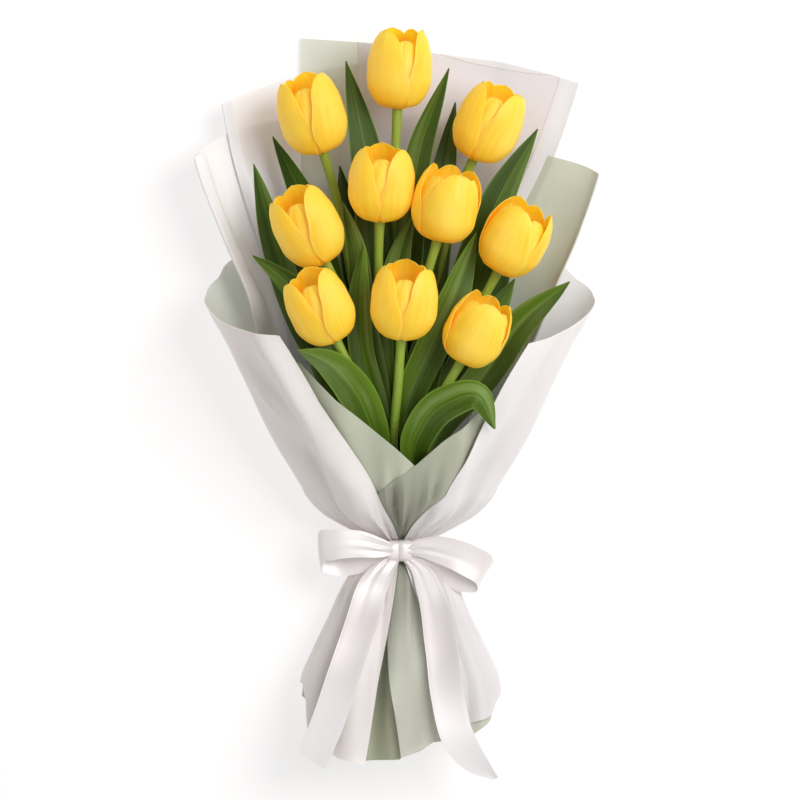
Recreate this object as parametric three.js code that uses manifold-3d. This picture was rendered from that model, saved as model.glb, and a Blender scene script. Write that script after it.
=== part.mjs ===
// A bunch of ten yellow tulips in layered wrapping paper, tied with a satin ribbon.
// It lies on its back. Millimetres, Z up from the surface, +Y from the cut ends to the heads.
// It is built around the tie, which is at x = 0, y = 0, and moved to its origin at the end.
import * as THREE from "three";
import Module from "manifold-3d";

const wasm = await Module();
wasm.setup();
const { Manifold, Mesh } = wasm;

// Driving dimensions.
const STEM_RADIUS = 3.5;
const STEM_SIDES = 6;
const STEM_PITCH = 6.7;
const CUT_END = -138;
const HEAD_HEIGHT = 60;
const HEAD_RADIUS = 24.5;
const TEPAL_THICK = 1.1;
const LEAF_THICK = 0.9;
const PAPER = 0.6;
const PAPER_PITCH = 1.0;
const LAYERS_UNDER = 3;
const WAIST_LIFT = 3;
const RIBBON_THICK = 0.8;
const SEAT = 0.3;

const RAD = Math.PI / 180;
const UP = new THREE.Vector3(0, 0, 1);

// A smooth curve through [x, y] pairs that never swings past them.
function profile(points) {
  const last = points.length - 1;
  const step = [];
  const rise = [];
  for (let i = 0; i < last; i += 1) {
    step.push(points[i + 1][0] - points[i][0]);
    rise.push((points[i + 1][1] - points[i][1]) / step[i]);
  }
  const slope = [rise[0]];
  for (let i = 1; i < last; i += 1) {
    if (rise[i - 1] * rise[i] <= 0) {
      slope.push(0);
    } else {
      const a = 2 * step[i] + step[i - 1];
      const b = step[i] + 2 * step[i - 1];
      slope.push((a + b) / (a / rise[i - 1] + b / rise[i]));
    }
  }
  slope.push(rise[last - 1]);
  return (x) => {
    const at = Math.min(Math.max(x, points[0][0]), points[last][0]);
    let i = 0;
    while (i < last - 1 && at > points[i + 1][0]) {
      i += 1;
    }
    const t = (at - points[i][0]) / step[i];
    return hermite(points[i][1], points[i + 1][1], slope[i], slope[i + 1], step[i], t);
  };
}

function hermite(from, to, slopeFrom, slopeTo, step, t) {
  const t2 = t * t;
  const t3 = t2 * t;
  return (
    from * (2 * t3 - 3 * t2 + 1) +
    to * (3 * t2 - 2 * t3) +
    step * (slopeFrom * (t3 - 2 * t2 + t) + slopeTo * (t3 - t2))
  );
}

// Straight lines between [x, y] pairs.
function steps(points) {
  return (x) => {
    const last = points.length - 1;
    const at = Math.min(Math.max(x, points[0][0]), points[last][0]);
    let i = 0;
    while (i < last - 1 && at > points[i + 1][0]) {
      i += 1;
    }
    const t = (at - points[i][0]) / (points[i + 1][0] - points[i][0]);
    return points[i][1] + t * (points[i + 1][1] - points[i][1]);
  };
}

// A smooth line in space through [x, y, z] points, with t from 0 to 1 along it.
function track(points) {
  const last = points.length - 1;
  const at = [0];
  for (let i = 1; i <= last; i += 1) {
    const gap = Math.hypot(...points[i].map((c, k) => c - points[i - 1][k]));
    at.push(at[i - 1] + gap);
  }
  const slope = points.map((p, i) =>
    p.map((c, k) => {
      if (i === 0) {
        return (points[1][k] - c) / at[1];
      }
      if (i === last) {
        return (c - points[last - 1][k]) / (at[last] - at[last - 1]);
      }
      const before = at[i] - at[i - 1];
      const after = at[i + 1] - at[i];
      const riseBefore = (c - points[i - 1][k]) / before;
      const riseAfter = (points[i + 1][k] - c) / after;
      return (riseBefore * after + riseAfter * before) / (before + after);
    }),
  );
  return (t) => {
    const s = Math.min(Math.max(t, 0), 1) * at[last];
    let i = 0;
    while (i < last - 1 && s > at[i + 1]) {
      i += 1;
    }
    const step = at[i + 1] - at[i];
    const u = (s - at[i]) / step;
    const xyz = [0, 1, 2].map((k) =>
      hermite(points[i][k], points[i + 1][k], slope[i][k], slope[i + 1][k], step, u),
    );
    return new THREE.Vector3(...xyz);
  };
}

function smooth(from, to, x) {
  const t = Math.min(Math.max((x - from) / (to - from), 0), 1);
  return t * t * (3 - 2 * t);
}

// A closed solid from points and triangles, turned the right way out.
function solid(points, triangles) {
  let volume = 0;
  for (const [a, b, c] of triangles) {
    volume += points[a].dot(new THREE.Vector3().crossVectors(points[b], points[c]));
  }
  const order = volume < 0 ? triangles.map(([a, b, c]) => [a, c, b]) : triangles;
  return new Manifold(
    new Mesh({
      numProp: 3,
      vertProperties: new Float32Array(points.flatMap((p) => [p.x, p.y, p.z])),
      triVerts: new Uint32Array(order.flat()),
    }),
  );
}

// Fuses parts into one body and fills any hollow that the fusing sealed.
function fuse(parts) {
  const whole = Manifold.union(parts);
  const bodies = whole.decompose().sort((a, b) => b.volume() - a.volume());
  return bodies[0].simplify(0.04);
}

function even(count) {
  return Array.from({ length: count + 1 }, (_, i) => i / count);
}

// A thin curved blade round the surface point(s, t), s from -1 to 1 across and t along the stations.
function blade(point, across, stations, thickness) {
  const front = [];
  const back = [];
  const e = 1e-3;
  const along = stations.length - 1;
  for (const t of stations) {
    for (let i = 0; i <= across; i += 1) {
      const s = -1 + (2 * i) / across;
      const over = point(s + e, t).sub(point(s - e, t));
      const up = point(s, Math.min(t + e, 1)).sub(point(s, Math.max(t - e, 0)));
      const normal = over.cross(up).normalize();
      const half = thickness(s, t) / 2;
      front.push(point(s, t).addScaledVector(normal, half));
      back.push(point(s, t).addScaledVector(normal, -half));
    }
  }
  const count = front.length;
  const id = (i, j) => j * (across + 1) + i;
  const triangles = [];
  for (let j = 0; j < along; j += 1) {
    for (let i = 0; i < across; i += 1) {
      const [a, b, c, d] = [id(i, j), id(i + 1, j), id(i + 1, j + 1), id(i, j + 1)];
      const pair = i < across / 2 ? [[a, b, c], [a, c, d]] : [[a, b, d], [b, c, d]];
      for (const [p, q, r] of pair) {
        triangles.push([p, q, r], [p + count, r + count, q + count]);
      }
    }
  }
  const rim = [];
  for (let i = 0; i < across; i += 1) {
    rim.push([id(i, 0), id(i + 1, 0)], [id(i + 1, along), id(i, along)]);
  }
  for (let j = 0; j < along; j += 1) {
    rim.push([id(across, j), id(across, j + 1)], [id(0, j + 1), id(0, j)]);
  }
  for (const [a, b] of rim) {
    triangles.push([b, a, a + count], [b, a + count, b + count]);
  }
  return solid([...front, ...back], triangles);
}

// A closed round bar along a line, with its radius at each t of the stations.
function bar(line, radius, sides, stations) {
  const points = [];
  const triangles = [];
  const along = stations.length - 1;
  for (const t of stations) {
    const centre = line(t);
    const ahead = line(Math.min(t + 1e-3, 1)).sub(line(Math.max(t - 1e-3, 0))).normalize();
    const across = new THREE.Vector3().crossVectors(ahead, UP).normalize();
    const out = new THREE.Vector3().crossVectors(across, ahead);
    for (let i = 0; i < sides; i += 1) {
      const turn = (2 * Math.PI * i) / sides;
      const p = centre.clone();
      p.addScaledVector(across, radius(t) * Math.sin(turn));
      p.addScaledVector(out, radius(t) * Math.cos(turn));
      points.push(p);
    }
  }
  for (let j = 0; j < along; j += 1) {
    for (let i = 0; i < sides; i += 1) {
      const [a, b] = [j * sides + i, j * sides + ((i + 1) % sides)];
      triangles.push([a, b, b + sides], [a, b + sides, a + sides]);
    }
  }
  const top = along * sides;
  for (let i = 1; i < sides - 1; i += 1) {
    triangles.push([0, i + 1, i], [top, top + i, top + i + 1]);
  }
  return solid(points, triangles);
}

// The paper's common form. h is the height above the tie and the turn is 0 at the back, 90 at the
// right side and 180 at the front, in degrees.
const HALF_WIDTH = profile([
  [-165, 74], [-135, 73.5], [-100, 70.5], [-77, 61], [-55, 50.5], [-20, 33], [-8, 18.2], [0, 17.6],
  [8, 18.2], [16, 30.5], [31, 56], [44, 67.5], [65, 75.5], [83, 82], [115, 93.5], [135, 98],
  [155, 101.5], [172, 105], [188, 108.5], [233, 127], [295, 150], [335, 159], [390, 167],
]);
const HALF_DEPTH = profile([
  [-165, 34], [-135, 33], [-100, 31], [-55, 25], [-20, 17], [-8, 11.8], [0, 11.4], [8, 11.8],
  [16, 17], [31, 26], [44, 33], [65, 40], [83, 46], [115, 53], [155, 60], [188, 63], [233, 64],
  [295, 62], [335, 60], [390, 58],
]);
const SIDE_FLARE = profile([[50, 0], [83, 8], [115, 12], [155, 23], [188, 34], [240, 40]]);
const FRONT_FLARE = profile([[50, 0], [115, 2], [155, 5], [188, 8], [240, 10]]);
const LIFT = profile([[-45, 0], [-14, WAIST_LIFT], [14, WAIST_LIFT], [45, 0]]);
const PLEAT_DEPTH = profile([
  [-160, 3.2], [-100, 3.2], [-50, 2.2], [-16, 0.9], [0, 0.3], [16, 0.9], [44, 2.2], [83, 1.8],
  [130, 0.5], [160, 0], [390, 0],
]);
const ROWS = [
  -165, -132, -100, -66, -38, -18, -7, 0, 7, 18, 34, 52, 80, 115, 152, 190, 235, 285, 335, 390,
];
const COLUMN = 15;

function ground(h) {
  return LAYERS_UNDER * PAPER_PITCH + PAPER + LIFT(h);
}

function pleat(turn, h) {
  const away = smooth(22, 50, Math.abs(turn));
  const wave = Math.cos(12 * turn * RAD) * (0.75 + 0.25 * Math.cos(5 * turn * RAD + 1));
  return PLEAT_DEPTH(h) * away * wave;
}

// The innermost paper surface at a turn and a height, spread by the flare.
function wrapBase(turn, h, flare) {
  const side = flare * smooth(25, 75, Math.abs(turn));
  const w = HALF_WIDTH(h) + side * SIDE_FLARE(h);
  const d = HALF_DEPTH(h) + side * FRONT_FLARE(h);
  const middle = ground(h) + 0.9 * HALF_DEPTH(h);
  const sin = Math.sin(turn * RAD);
  const cos = Math.cos(turn * RAD);
  const out = new THREE.Vector3(sin / w, 0, -cos / d).normalize();
  const p = new THREE.Vector3(w * sin, h, middle - d * cos);
  p.addScaledVector(out, pleat(turn, h));
  p.z = Math.max(p.z, ground(h));
  return p;
}

// The same surface moved out by a distance, and never below its own layer on the surface.
function wrapOffset(turn, h, flare, distance) {
  const p = wrapBase(turn, h, flare);
  const around = wrapBase(turn + 1, h, flare).sub(wrapBase(turn - 1, h, flare));
  const along = wrapBase(turn, h + 1, flare).sub(wrapBase(turn, h - 1, flare));
  const out = around.cross(along).normalize();
  if (out.dot(new THREE.Vector3(Math.sin(turn * RAD), 0, -Math.cos(turn * RAD))) < 0) {
    out.negate();
  }
  p.addScaledVector(out, distance);
  p.z = Math.max(p.z, ground(h) - distance);
  return p;
}

// A point of the faceted layer. Every sheet is cut from such layers, so that sheets never cross.
function wrapPoint(turn, h, flare, distance) {
  const left = Math.min(Math.floor((turn + 210) / COLUMN), 27) * COLUMN - 210;
  let j = 0;
  while (j < ROWS.length - 2 && h > ROWS[j + 1]) {
    j += 1;
  }
  const u = (turn - left) / COLUMN;
  const v = (h - ROWS[j]) / (ROWS[j + 1] - ROWS[j]);
  const a = wrapOffset(left, ROWS[j], flare, distance);
  const c = wrapOffset(left + COLUMN, ROWS[j + 1], flare, distance);
  if (u >= v) {
    const b = wrapOffset(left + COLUMN, ROWS[j], flare, distance);
    return a.multiplyScalar(1 - u).addScaledVector(b, u - v).addScaledVector(c, v);
  }
  const d = wrapOffset(left, ROWS[j + 1], flare, distance);
  return a.multiplyScalar(1 - v).addScaledVector(d, v - u).addScaledVector(c, u);
}

// Cuts a flat polygon by the line where inside(p) is zero.
function clip(polygon, inside) {
  const kept = [];
  for (let i = 0; i < polygon.length; i += 1) {
    const a = polygon[i];
    const b = polygon[(i + 1) % polygon.length];
    const fa = inside(a);
    const fb = inside(b);
    if (fa > -1e-6) {
      kept.push(a);
    }
    if ((fa > 1e-6 && fb < -1e-6) || (fa < -1e-6 && fb > 1e-6)) {
      kept.push(crossing(a, b, inside));
    }
  }
  return kept.length > 2 ? kept : null;
}

function crossing(a, b, inside) {
  const swap = a[0] > b[0] || (a[0] === b[0] && a[1] > b[1]);
  let [low, high] = swap ? [b, a] : [a, b];
  const sign = inside(low) > 0 ? 1 : -1;
  for (let i = 0; i < 40; i += 1) {
    const middle = [(low[0] + high[0]) / 2, (low[1] + high[1]) / 2];
    if (inside(middle) * sign > 0) {
      low = middle;
    } else {
      high = middle;
    }
  }
  return low;
}

// One sheet of paper. Its outline is given in turn and height: left and right by the height,
// top and bottom by the turn.
function outlineMesh({ left, right, top, bottom }) {
  const tests = [
    (p) => p[0] - left(p[1]),
    (p) => right(p[1]) - p[0],
    (p) => top(p[0]) - p[1],
    (p) => p[1] - bottom(p[0]),
  ];
  const snap = (turn, h) => {
    const p = [turn, h];
    for (const edge of [left, right]) {
      if (Math.abs(p[0] - edge(p[1])) < 0.2) {
        p[0] = edge(p[1]);
      }
    }
    for (const edge of [top, bottom]) {
      if (Math.abs(p[1] - edge(p[0])) < 0.3) {
        p[1] = edge(p[0]);
      }
    }
    return p;
  };
  let pieces = [];
  for (let turn = -210; turn < 210; turn += COLUMN) {
    for (let j = 0; j < ROWS.length - 1; j += 1) {
      const a = snap(turn, ROWS[j]);
      const b = snap(turn + COLUMN, ROWS[j]);
      const c = snap(turn + COLUMN, ROWS[j + 1]);
      const d = snap(turn, ROWS[j + 1]);
      pieces.push([a, b, c], [a, c, d]);
    }
  }
  for (const test of tests) {
    pieces = pieces.map((piece) => clip(piece, test)).filter(Boolean);
  }
  return weld(pieces);
}

function area(a, b, c) {
  return (b[0] - a[0]) * (c[1] - a[1]) - (c[0] - a[0]) * (b[1] - a[1]);
}

// Polygons to triangles that share their corners.
function weld(pieces) {
  const corners = [];
  const found = new Map();
  const cornerId = (p) => {
    const key = `${p[0].toFixed(3)},${p[1].toFixed(3)}`;
    if (!found.has(key)) {
      found.set(key, corners.length);
      corners.push(p);
    }
    return found.get(key);
  };
  const triangles = [];
  for (const piece of pieces) {
    const ids = piece.map(cornerId).filter((id, i, all) => id !== all[(i + 1) % all.length]);
    if (ids.length < 3) {
      continue;
    }
    let best = 0;
    let most = -1;
    for (let start = 0; start < ids.length; start += 1) {
      let least = Infinity;
      for (let i = 1; i < ids.length - 1; i += 1) {
        const [p, q, r] = [0, i, i + 1].map((k) => corners[ids[(start + k) % ids.length]]);
        least = Math.min(least, area(p, q, r));
      }
      if (least > most) {
        most = least;
        best = start;
      }
    }
    for (let i = 1; i < ids.length - 1; i += 1) {
      const triangle = [0, i, i + 1].map((k) => ids[(best + k) % ids.length]);
      triangles.push(triangle);
    }
  }
  return { corners, triangles };
}

// A flat outline mesh given its form and thickness between two distances from the base surface.
function paper(outline, flare, inner, outer) {
  const { corners, triangles } = outlineMesh(outline);
  const inside = corners.map(([turn, h]) => wrapPoint(turn, h, flare, inner));
  const outside = corners.map(([turn, h]) => wrapPoint(turn, h, flare, outer));
  const count = corners.length;
  const all = [];
  const edges = new Set();
  for (const [a, b, c] of triangles) {
    all.push([a, b, c], [a + count, c + count, b + count]);
    edges.add(`${a},${b}`).add(`${b},${c}`).add(`${c},${a}`);
  }
  for (const edge of edges) {
    const [a, b] = edge.split(",").map(Number);
    if (!edges.has(`${b},${a}`)) {
      all.push([b, a, a + count], [b, a + count, b + count]);
    }
  }
  return solid([...inside, ...outside], all);
}

function sheet({ layer, flare, ...outline }) {
  const inner = layer * PAPER_PITCH;
  return fuse([paper(outline, flare, inner, inner + PAPER)]);
}

const always = (value) => () => value;

const SHEETS = {
  wrap_back_white: {
    layer: 0,
    flare: 0,
    left: steps([[-110, -14], [300, -12], [382, -11]]),
    right: steps([[-110, 30], [200, 41], [241, 44], [299, 50.5], [355, 56]]),
    top: steps([[-11, 388], [9, 379.5], [27.5, 373], [56, 355]]),
    bottom: always(-100),
  },
  wrap_back_sage: {
    layer: 1,
    flare: 0,
    left: steps([[-110, -36], [200, -36], [274, -30.7], [391, -27]]),
    right: always(0),
    top: steps([[-27, 391], [-11, 388], [6, 385]]),
    bottom: always(-66),
  },
  wrap_left_white: {
    layer: 2,
    flare: 0,
    left: steps([[-110, -57], [158, -56], [335, -57.5]]),
    right: always(0),
    top: steps([[-57.5, 338], [-27, 364], [0, 377]]),
    bottom: always(-100),
  },
  wrap_left_outer: {
    layer: 3,
    flare: 0.06,
    left: steps([[-150, -84], [167, -84], [233, -86], [295, -84]]),
    right: always(15),
    top: steps([[-84, 295], [-55, 317], [-20, 338], [18, 326]]),
    bottom: steps([[-84, -112], [-45, -132], [15, -140]]),
  },
  wrap_right_sage: {
    layer: 1,
    flare: 0.12,
    left: always(15),
    right: steps([[-130, 53], [-105, 57], [-92, 66], [154, 72], [188, 82], [240, 83], [284, 79]]),
    top: steps([[14, 316], [49.5, 299], [79, 284]]),
    bottom: always(-132),
  },
  wrap_front_left_liner: {
    layer: 1,
    flare: 0,
    left: steps([[-157, -196], [0, -194], [50, -198], [65, -198]]),
    right: always(-105),
    top: steps([[-198, 56], [-188, 65], [-150, 113], [-133, 140], [-105, 158]]),
    bottom: steps([[-198, -140], [-184, -149], [-180, -155.5], [-160, -157], [-130, -148], [-105, -120]]),
  },
  wrap_front_right_liner: {
    layer: 2,
    flare: 0,
    left: always(105),
    right: steps([[-155, 179.5], [-120, 182.5], [-89, 186], [-60, 190], [0, 196], [42, 198], [60, 198]]),
    top: steps([[105, 136], [139.5, 106], [172, 65], [196, 42], [200, 38]]),
    bottom: steps([[105, -112], [118, -128], [130, -138], [160, -143], [168, -149], [182, -155]]),
  },
  wrap_front_right: {
    layer: 4,
    flare: 1,
    left: always(45),
    right: steps([
      [-130, 136], [-113, 141], [-60, 150], [-12, 175], [11, 174], [44, 151], [113, 139], [155, 132],
    ]),
    top: steps([
      [45, 232], [50, 226], [57, 217], [63, 207], [78, 194], [90, 187], [112, 169], [132, 156],
      [140, 152],
    ]),
    bottom: steps([[45, -98], [60, -97], [95, -104], [110, -112], [124, -125], [136, -130]]),
  },
  wrap_front_left: {
    layer: 4,
    flare: 1,
    left: steps([
      [-162, -158], [-87, -169], [-12, -178], [10, -178], [43, -166], [113, -146], [162, -137],
    ]),
    right: always(-45),
    top: steps([
      [-140, 160], [-137, 162], [-118, 168], [-104, 175], [-91, 187], [-78, 195], [-65, 208],
      [-61, 217], [-50, 231], [-45, 236],
    ]),
    bottom: steps([
      [-158, -160], [-135, -151], [-118, -139], [-113, -114], [-98, -102], [-60, -98], [-45, -98],
    ]),
  },
};

// The heads: where each stem passes the tie (row and place in the row), the foot of the head, its
// tilt to the right, its lean towards the viewer, its width and height as shares of the usual
// head's, its turn about its own axis and how far it opens.
const HEADS = [
  { tie: [0, -1], foot: [-2, 334, 44], tilt: 2, lean: 10, wide: 1, tall: 1, roll: 20, open: 0 },
  {
    tie: [-1, -1], foot: [-58, 300.5, 49], tilt: -16, lean: 14,
    wide: 1.02, tall: 1, roll: -8, open: 0,
  },
  { tie: [1, -1], foot: [55.5, 295.5, 49], tilt: 23, lean: 14, wide: 1, tall: 0.99, roll: -5, open: 0 },
  { tie: [-0.5, 0], foot: [-15, 247.5, 74], tilt: 2, lean: 16, wide: 1, tall: 0.94, roll: 0, open: 0 },
  { tie: [0.5, 0], foot: [28, 233, 80], tilt: 15, lean: 15, wide: 1, tall: 0.92, roll: 75, open: 0.5 },
  {
    tie: [-1.5, 0], foot: [-56, 216.5, 78], tilt: -26, lean: 16,
    wide: 1, tall: 1, roll: -8, open: 0.2,
  },
  {
    tie: [1.5, 0], foot: [73.5, 210, 75], tilt: 27, lean: 17,
    wide: 0.98, tall: 0.92, roll: 40, open: 0.2,
  },
  {
    tie: [-1, 1], foot: [-47.5, 158, 97], tilt: -25, lean: 16,
    wide: 0.96, tall: 0.93, roll: -6, open: 0.1,
  },
  {
    tie: [0, 1], foot: [1, 159.5, 98], tilt: 4, lean: 17,
    wide: 1, tall: 0.94, roll: 0, open: 0.1, via: [-5, 78],
  },
  {
    tie: [1, 1], foot: [45.5, 142.5, 95], tilt: 28, lean: 15,
    wide: 0.94, tall: 0.87, roll: 65, open: 0,
  },
];

function headAxes({ tilt, lean }) {
  const axis = new THREE.Vector3(
    Math.sin(tilt * RAD) * Math.cos(lean * RAD),
    Math.cos(tilt * RAD) * Math.cos(lean * RAD),
    Math.sin(lean * RAD),
  );
  const front = UP.clone().addScaledVector(axis, -UP.dot(axis)).normalize();
  const right = new THREE.Vector3().crossVectors(axis, front);
  return { axis, front, right };
}

// A tepal's form: distance from the axis, height and half width, each by t from its foot to its tip.
const TEPAL_OUT = profile([
  [0, 0.17], [0.1, 0.54], [0.24, 0.82], [0.44, 0.985], [0.64, 0.98], [0.82, 0.88], [1, 0.72],
]);
const TEPAL_UP = profile([
  [0, 0], [0.1, 0.035], [0.24, 0.15], [0.44, 0.36], [0.64, 0.59], [0.82, 0.79], [1, 0.985],
]);
const TEPAL_HALF = profile([
  [0, 3.4], [0.1, 10.5], [0.25, 17.5], [0.44, 22], [0.64, 21.6], [0.8, 17.4], [0.9, 12.8], [1, 4.6],
]);

const OUTER_STATIONS = [0.02, 0.23, 0.46, 0.7, 0.88, 0.99];
const INNER_STATIONS = [0.02, 0.32, 0.66, 0.87, 0.985];

function tepalPoint(head, axes, turn, inner, s, t) {
  const spread = 1 + head.open * 0.12 * smooth(0.4, 1, t);
  const within = inner ? 2 + 1.4 * smooth(0, 0.3, t) : 0;
  const reach = HEAD_RADIUS * head.wide * TEPAL_OUT(t) * spread - within;
  const half = head.wide * TEPAL_HALF(t) * (inner ? 0.84 : 1);
  const round = Math.max(reach * (inner ? 0.98 : 0.94), 3);
  const angle = (s * half) / round;
  const upright = HEAD_HEIGHT * head.tall * TEPAL_UP(t) * (inner ? 0.95 : 1);
  const height = upright - (inner ? 0 : 0.6 * s * s);
  const away = reach - round + round * Math.cos(angle);
  const aside = round * Math.sin(angle);
  const p = new THREE.Vector3(...head.foot).addScaledVector(axes.axis, height);
  const towards = away * Math.cos(turn) - aside * Math.sin(turn);
  const rightwards = away * Math.sin(turn) + aside * Math.cos(turn);
  return p.addScaledVector(axes.front, towards).addScaledVector(axes.right, rightwards);
}

function bloom(head) {
  const axes = headAxes(head);
  const parts = [];
  for (let i = 0; i < 6; i += 1) {
    const inner = i % 2 === 1;
    const turn = (head.roll + 60 + 60 * i) * RAD;
    const point = (s, t) => tepalPoint(head, axes, turn, inner, s, t);
    const stations = inner ? INNER_STATIONS : OUTER_STATIONS;
    const thickness = (s, t) => TEPAL_THICK - 0.4 * s * s * smooth(0.1, 0.4, t);
    parts.push(blade(point, inner ? 3 : 4, stations, thickness));
  }
  const foot = new THREE.Vector3(...head.foot);
  const line = (t) => foot.clone().addScaledVector(axes.axis, -0.6 + 3.4 * t);
  parts.push(bar(line, (t) => 4.4 + 5.6 * t, 6, [0, 1]));
  return fuse(parts);
}

// The stems, packed in three rows at the tie.
const ROW_PITCH = STEM_PITCH * Math.cos(30 * RAD);
const BUNDLE_Z = ground(0) + STEM_RADIUS + ROW_PITCH + SEAT;

function stemLine(head) {
  const x = head.tie[0] * STEM_PITCH;
  const row = head.tie[1] + 1;
  const z = BUNDLE_Z + head.tie[1] * ROW_PITCH;
  const { axis } = headAxes(head);
  const end = new THREE.Vector3(...head.foot).addScaledVector(axis, -0.6 - SEAT);
  const before = end.clone().addScaledVector(axis, -34);
  const below = z - WAIST_LIFT + 0.6 + 2 * row;
  const spread = (0.85 * 30) / before.y;
  const points = [
    [x * 1.7, CUT_END, below],
    [x * 1.2, -48, below + 0.8],
    [x, -12, z + 0.3 + 0.5 * row],
    [x, 0, z],
    [x + spread * (before.x - x), 30, z + spread * (before.z - z)],
  ];
  if (head.via) {
    const [viaX, viaY] = head.via;
    points.push([viaX, viaY, z + (1.06 * viaY * (head.foot[2] - z)) / head.foot[1]]);
  }
  points.push(before.toArray(), end.toArray());
  const sideways = profile(points.map(([px, py]) => [py, px]));
  const upwards = profile(points.map(([, py, pz]) => [py, pz]));
  return (t) => {
    const y = CUT_END + t * (end.y - CUT_END);
    return new THREE.Vector3(sideways(y), y, upwards(y));
  };
}

// Depth in the bunch: 0 on the back paper and 1 at the front of the leaves, by the height.
const FRONT_Z = profile([
  [0, 27], [20, 40], [44, 57], [83, 79], [115, 95], [155, 109], [190, 117], [235, 118],
  [300, 105], [390, 85],
]);

function depth(h, q) {
  const back = ground(h) + 2;
  return back + q * (FRONT_Z(h) - back);
}

// The leaves. Each grows from its stem and runs through [x, height, depth] points, with its half
// widths and its roll (degrees about its own line) along it, and the depth of its fold.
const LEAVES = [
  {
    stem: 1, from: 52, half: 14.5, roll: -14, fold: 3,
    to: [[-6, 120, 0.24], [-17, 210, 0.28], [-26, 300, 0.32], [-41, 370, 0.36]],
  },
  {
    stem: 1, from: 62, half: 12, roll: 18, fold: 3,
    to: [[3, 130, 0.33], [7, 220, 0.36], [15, 300, 0.4], [37, 364, 0.42]],
  },
  {
    stem: 2, from: 48, half: 13, roll: 10, fold: 2.5,
    to: [[-30, 120, 0.22], [-54, 200, 0.26], [-72, 262, 0.28], [-96.5, 313, 0.3]],
  },
  {
    stem: 2, from: 58, half: 12, roll: 0, fold: 2,
    to: [[-17, 130, 0.06], [-32, 210, 0.08], [-46, 292, 0.1]],
  },
  {
    stem: 3, from: 58, half: 12, roll: 5, fold: 2.5,
    to: [[16, 130, 0.2], [25, 210, 0.24], [33, 285, 0.28], [42, 339, 0.3]],
  },
  {
    stem: 3, from: 46, half: 15, roll: -8, fold: 3,
    to: [[26.5, 120, 0.25], [48, 190, 0.34], [74, 265, 0.36], [104, 318, 0.38]],
  },
  {
    stem: 4, from: 50, half: 12, roll: 12, fold: 3,
    to: [[-4, 120, 0.5], [-5, 190, 0.52], [0, 222, 0.53], [11, 254, 0.54]],
  },
  {
    stem: 4, from: 60, half: 10, roll: 25, fold: 3,
    to: [[-15, 120, 0.6], [-26, 180, 0.6], [-32, 225, 0.54], [-43, 262, 0.5]],
  },
  {
    stem: 5, from: 52, half: 14, roll: 0, fold: 3,
    to: [[12, 110, 0.55], [22, 155, 0.57], [31, 190, 0.58]],
  },
  {
    stem: 5, from: 62, half: 13, roll: -20, fold: 3,
    to: [[7, 115, 0.68], [24, 155, 0.66], [40, 190, 0.62], [57, 238, 0.6]],
  },
  {
    stem: 6, from: 66, half: 12, roll: 25, fold: 3,
    to: [[-40, 115, 0.42], [-72, 170, 0.42], [-92, 225, 0.4], [-110.5, 291.5, 0.38]],
  },
  {
    stem: 6, from: 76, half: 10.5, roll: 10, fold: 2.5,
    to: [[-40, 128, 0.58], [-62, 172, 0.6], [-85, 202, 0.62], [-110, 221, 0.62]],
  },
  {
    stem: 7, from: 52, half: 12, roll: 0, fold: 2.5,
    to: [[32, 110, 0.5], [56, 155, 0.5], [72, 180, 0.5], [86, 204, 0.5]],
  },
  {
    stem: 8, from: 46, half: 14, roll: -10, fold: 3,
    to: [[-21, 90, 0.9], [-34, 120, 0.935], [-54, 141, 0.99], [-75, 150, 1]],
  },
  {
    stem: 8, from: 40, half: 12, roll: 0, fold: 2.5,
    to: [[-30, 90, 0.62], [-45, 118, 0.64], [-68, 144, 0.66]],
  },
  {
    stem: 9, from: 56, half: 9.5, roll: 10, fold: 3,
    to: [[-17, 112, 0.72], [-28, 150, 0.7], [-30, 190, 0.66], [-27, 230, 0.64]],
  },
  {
    stem: 10, from: 50, half: 13, roll: 10, fold: 3,
    to: [[34, 95, 0.62], [62, 130, 0.6], [90, 170, 0.62], [126, 201, 0.7]],
  },
  {
    stem: 10, from: 42, half: 13.5, roll: 15, fold: 3,
    to: [[13, 84, 1], [32, 109, 1.08], [56, 116, 1.15], [70, 92, 1.2]],
  },
  {
    stem: 7, from: 60, half: 13, roll: 0, fold: 2.5,
    to: [[44, 120, 0.14], [64, 180, 0.16], [86, 240, 0.18]],
  },
  {
    stem: 6, from: 50, half: 13, roll: 0, fold: 2.5,
    to: [[-38, 110, 0.34], [-58, 165, 0.34], [-80, 225, 0.34]],
  },
];
const LEAF_SHAPE = profile([
  [0, 0.3], [0.12, 0.4], [0.4, 0.9], [0.6, 1], [0.78, 0.84], [0.92, 0.42], [1, 0.06],
]);

// The share of a stem's length that lies below a height.
function shareAt(line, height) {
  let low = 0;
  let high = 1;
  for (let i = 0; i < 30; i += 1) {
    const middle = (low + high) / 2;
    if (line(middle).y < height) {
      low = middle;
    } else {
      high = middle;
    }
  }
  return low;
}

function leafPoint(line, leaf, s, t) {
  const centre = line(t);
  const ahead = line(Math.min(t + 2e-3, 1)).sub(line(Math.max(t - 2e-3, 0))).normalize();
  const side = new THREE.Vector3().crossVectors(ahead, UP).normalize();
  const face = new THREE.Vector3().crossVectors(side, ahead);
  const roll = leaf.roll * RAD * smooth(0.1, 0.6, t);
  const half = leaf.half * LEAF_SHAPE(t);
  const across = side.clone().multiplyScalar(Math.cos(roll)).addScaledVector(face, Math.sin(roll));
  const out = face.clone().multiplyScalar(Math.cos(roll)).addScaledVector(side, -Math.sin(roll));
  const fold = leaf.fold * Math.abs(s) * Math.sin(Math.PI * Math.min(t + 0.1, 1)) * Math.min(half / 6, 1);
  return centre.addScaledVector(across, half * s).addScaledVector(out, fold);
}

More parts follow.
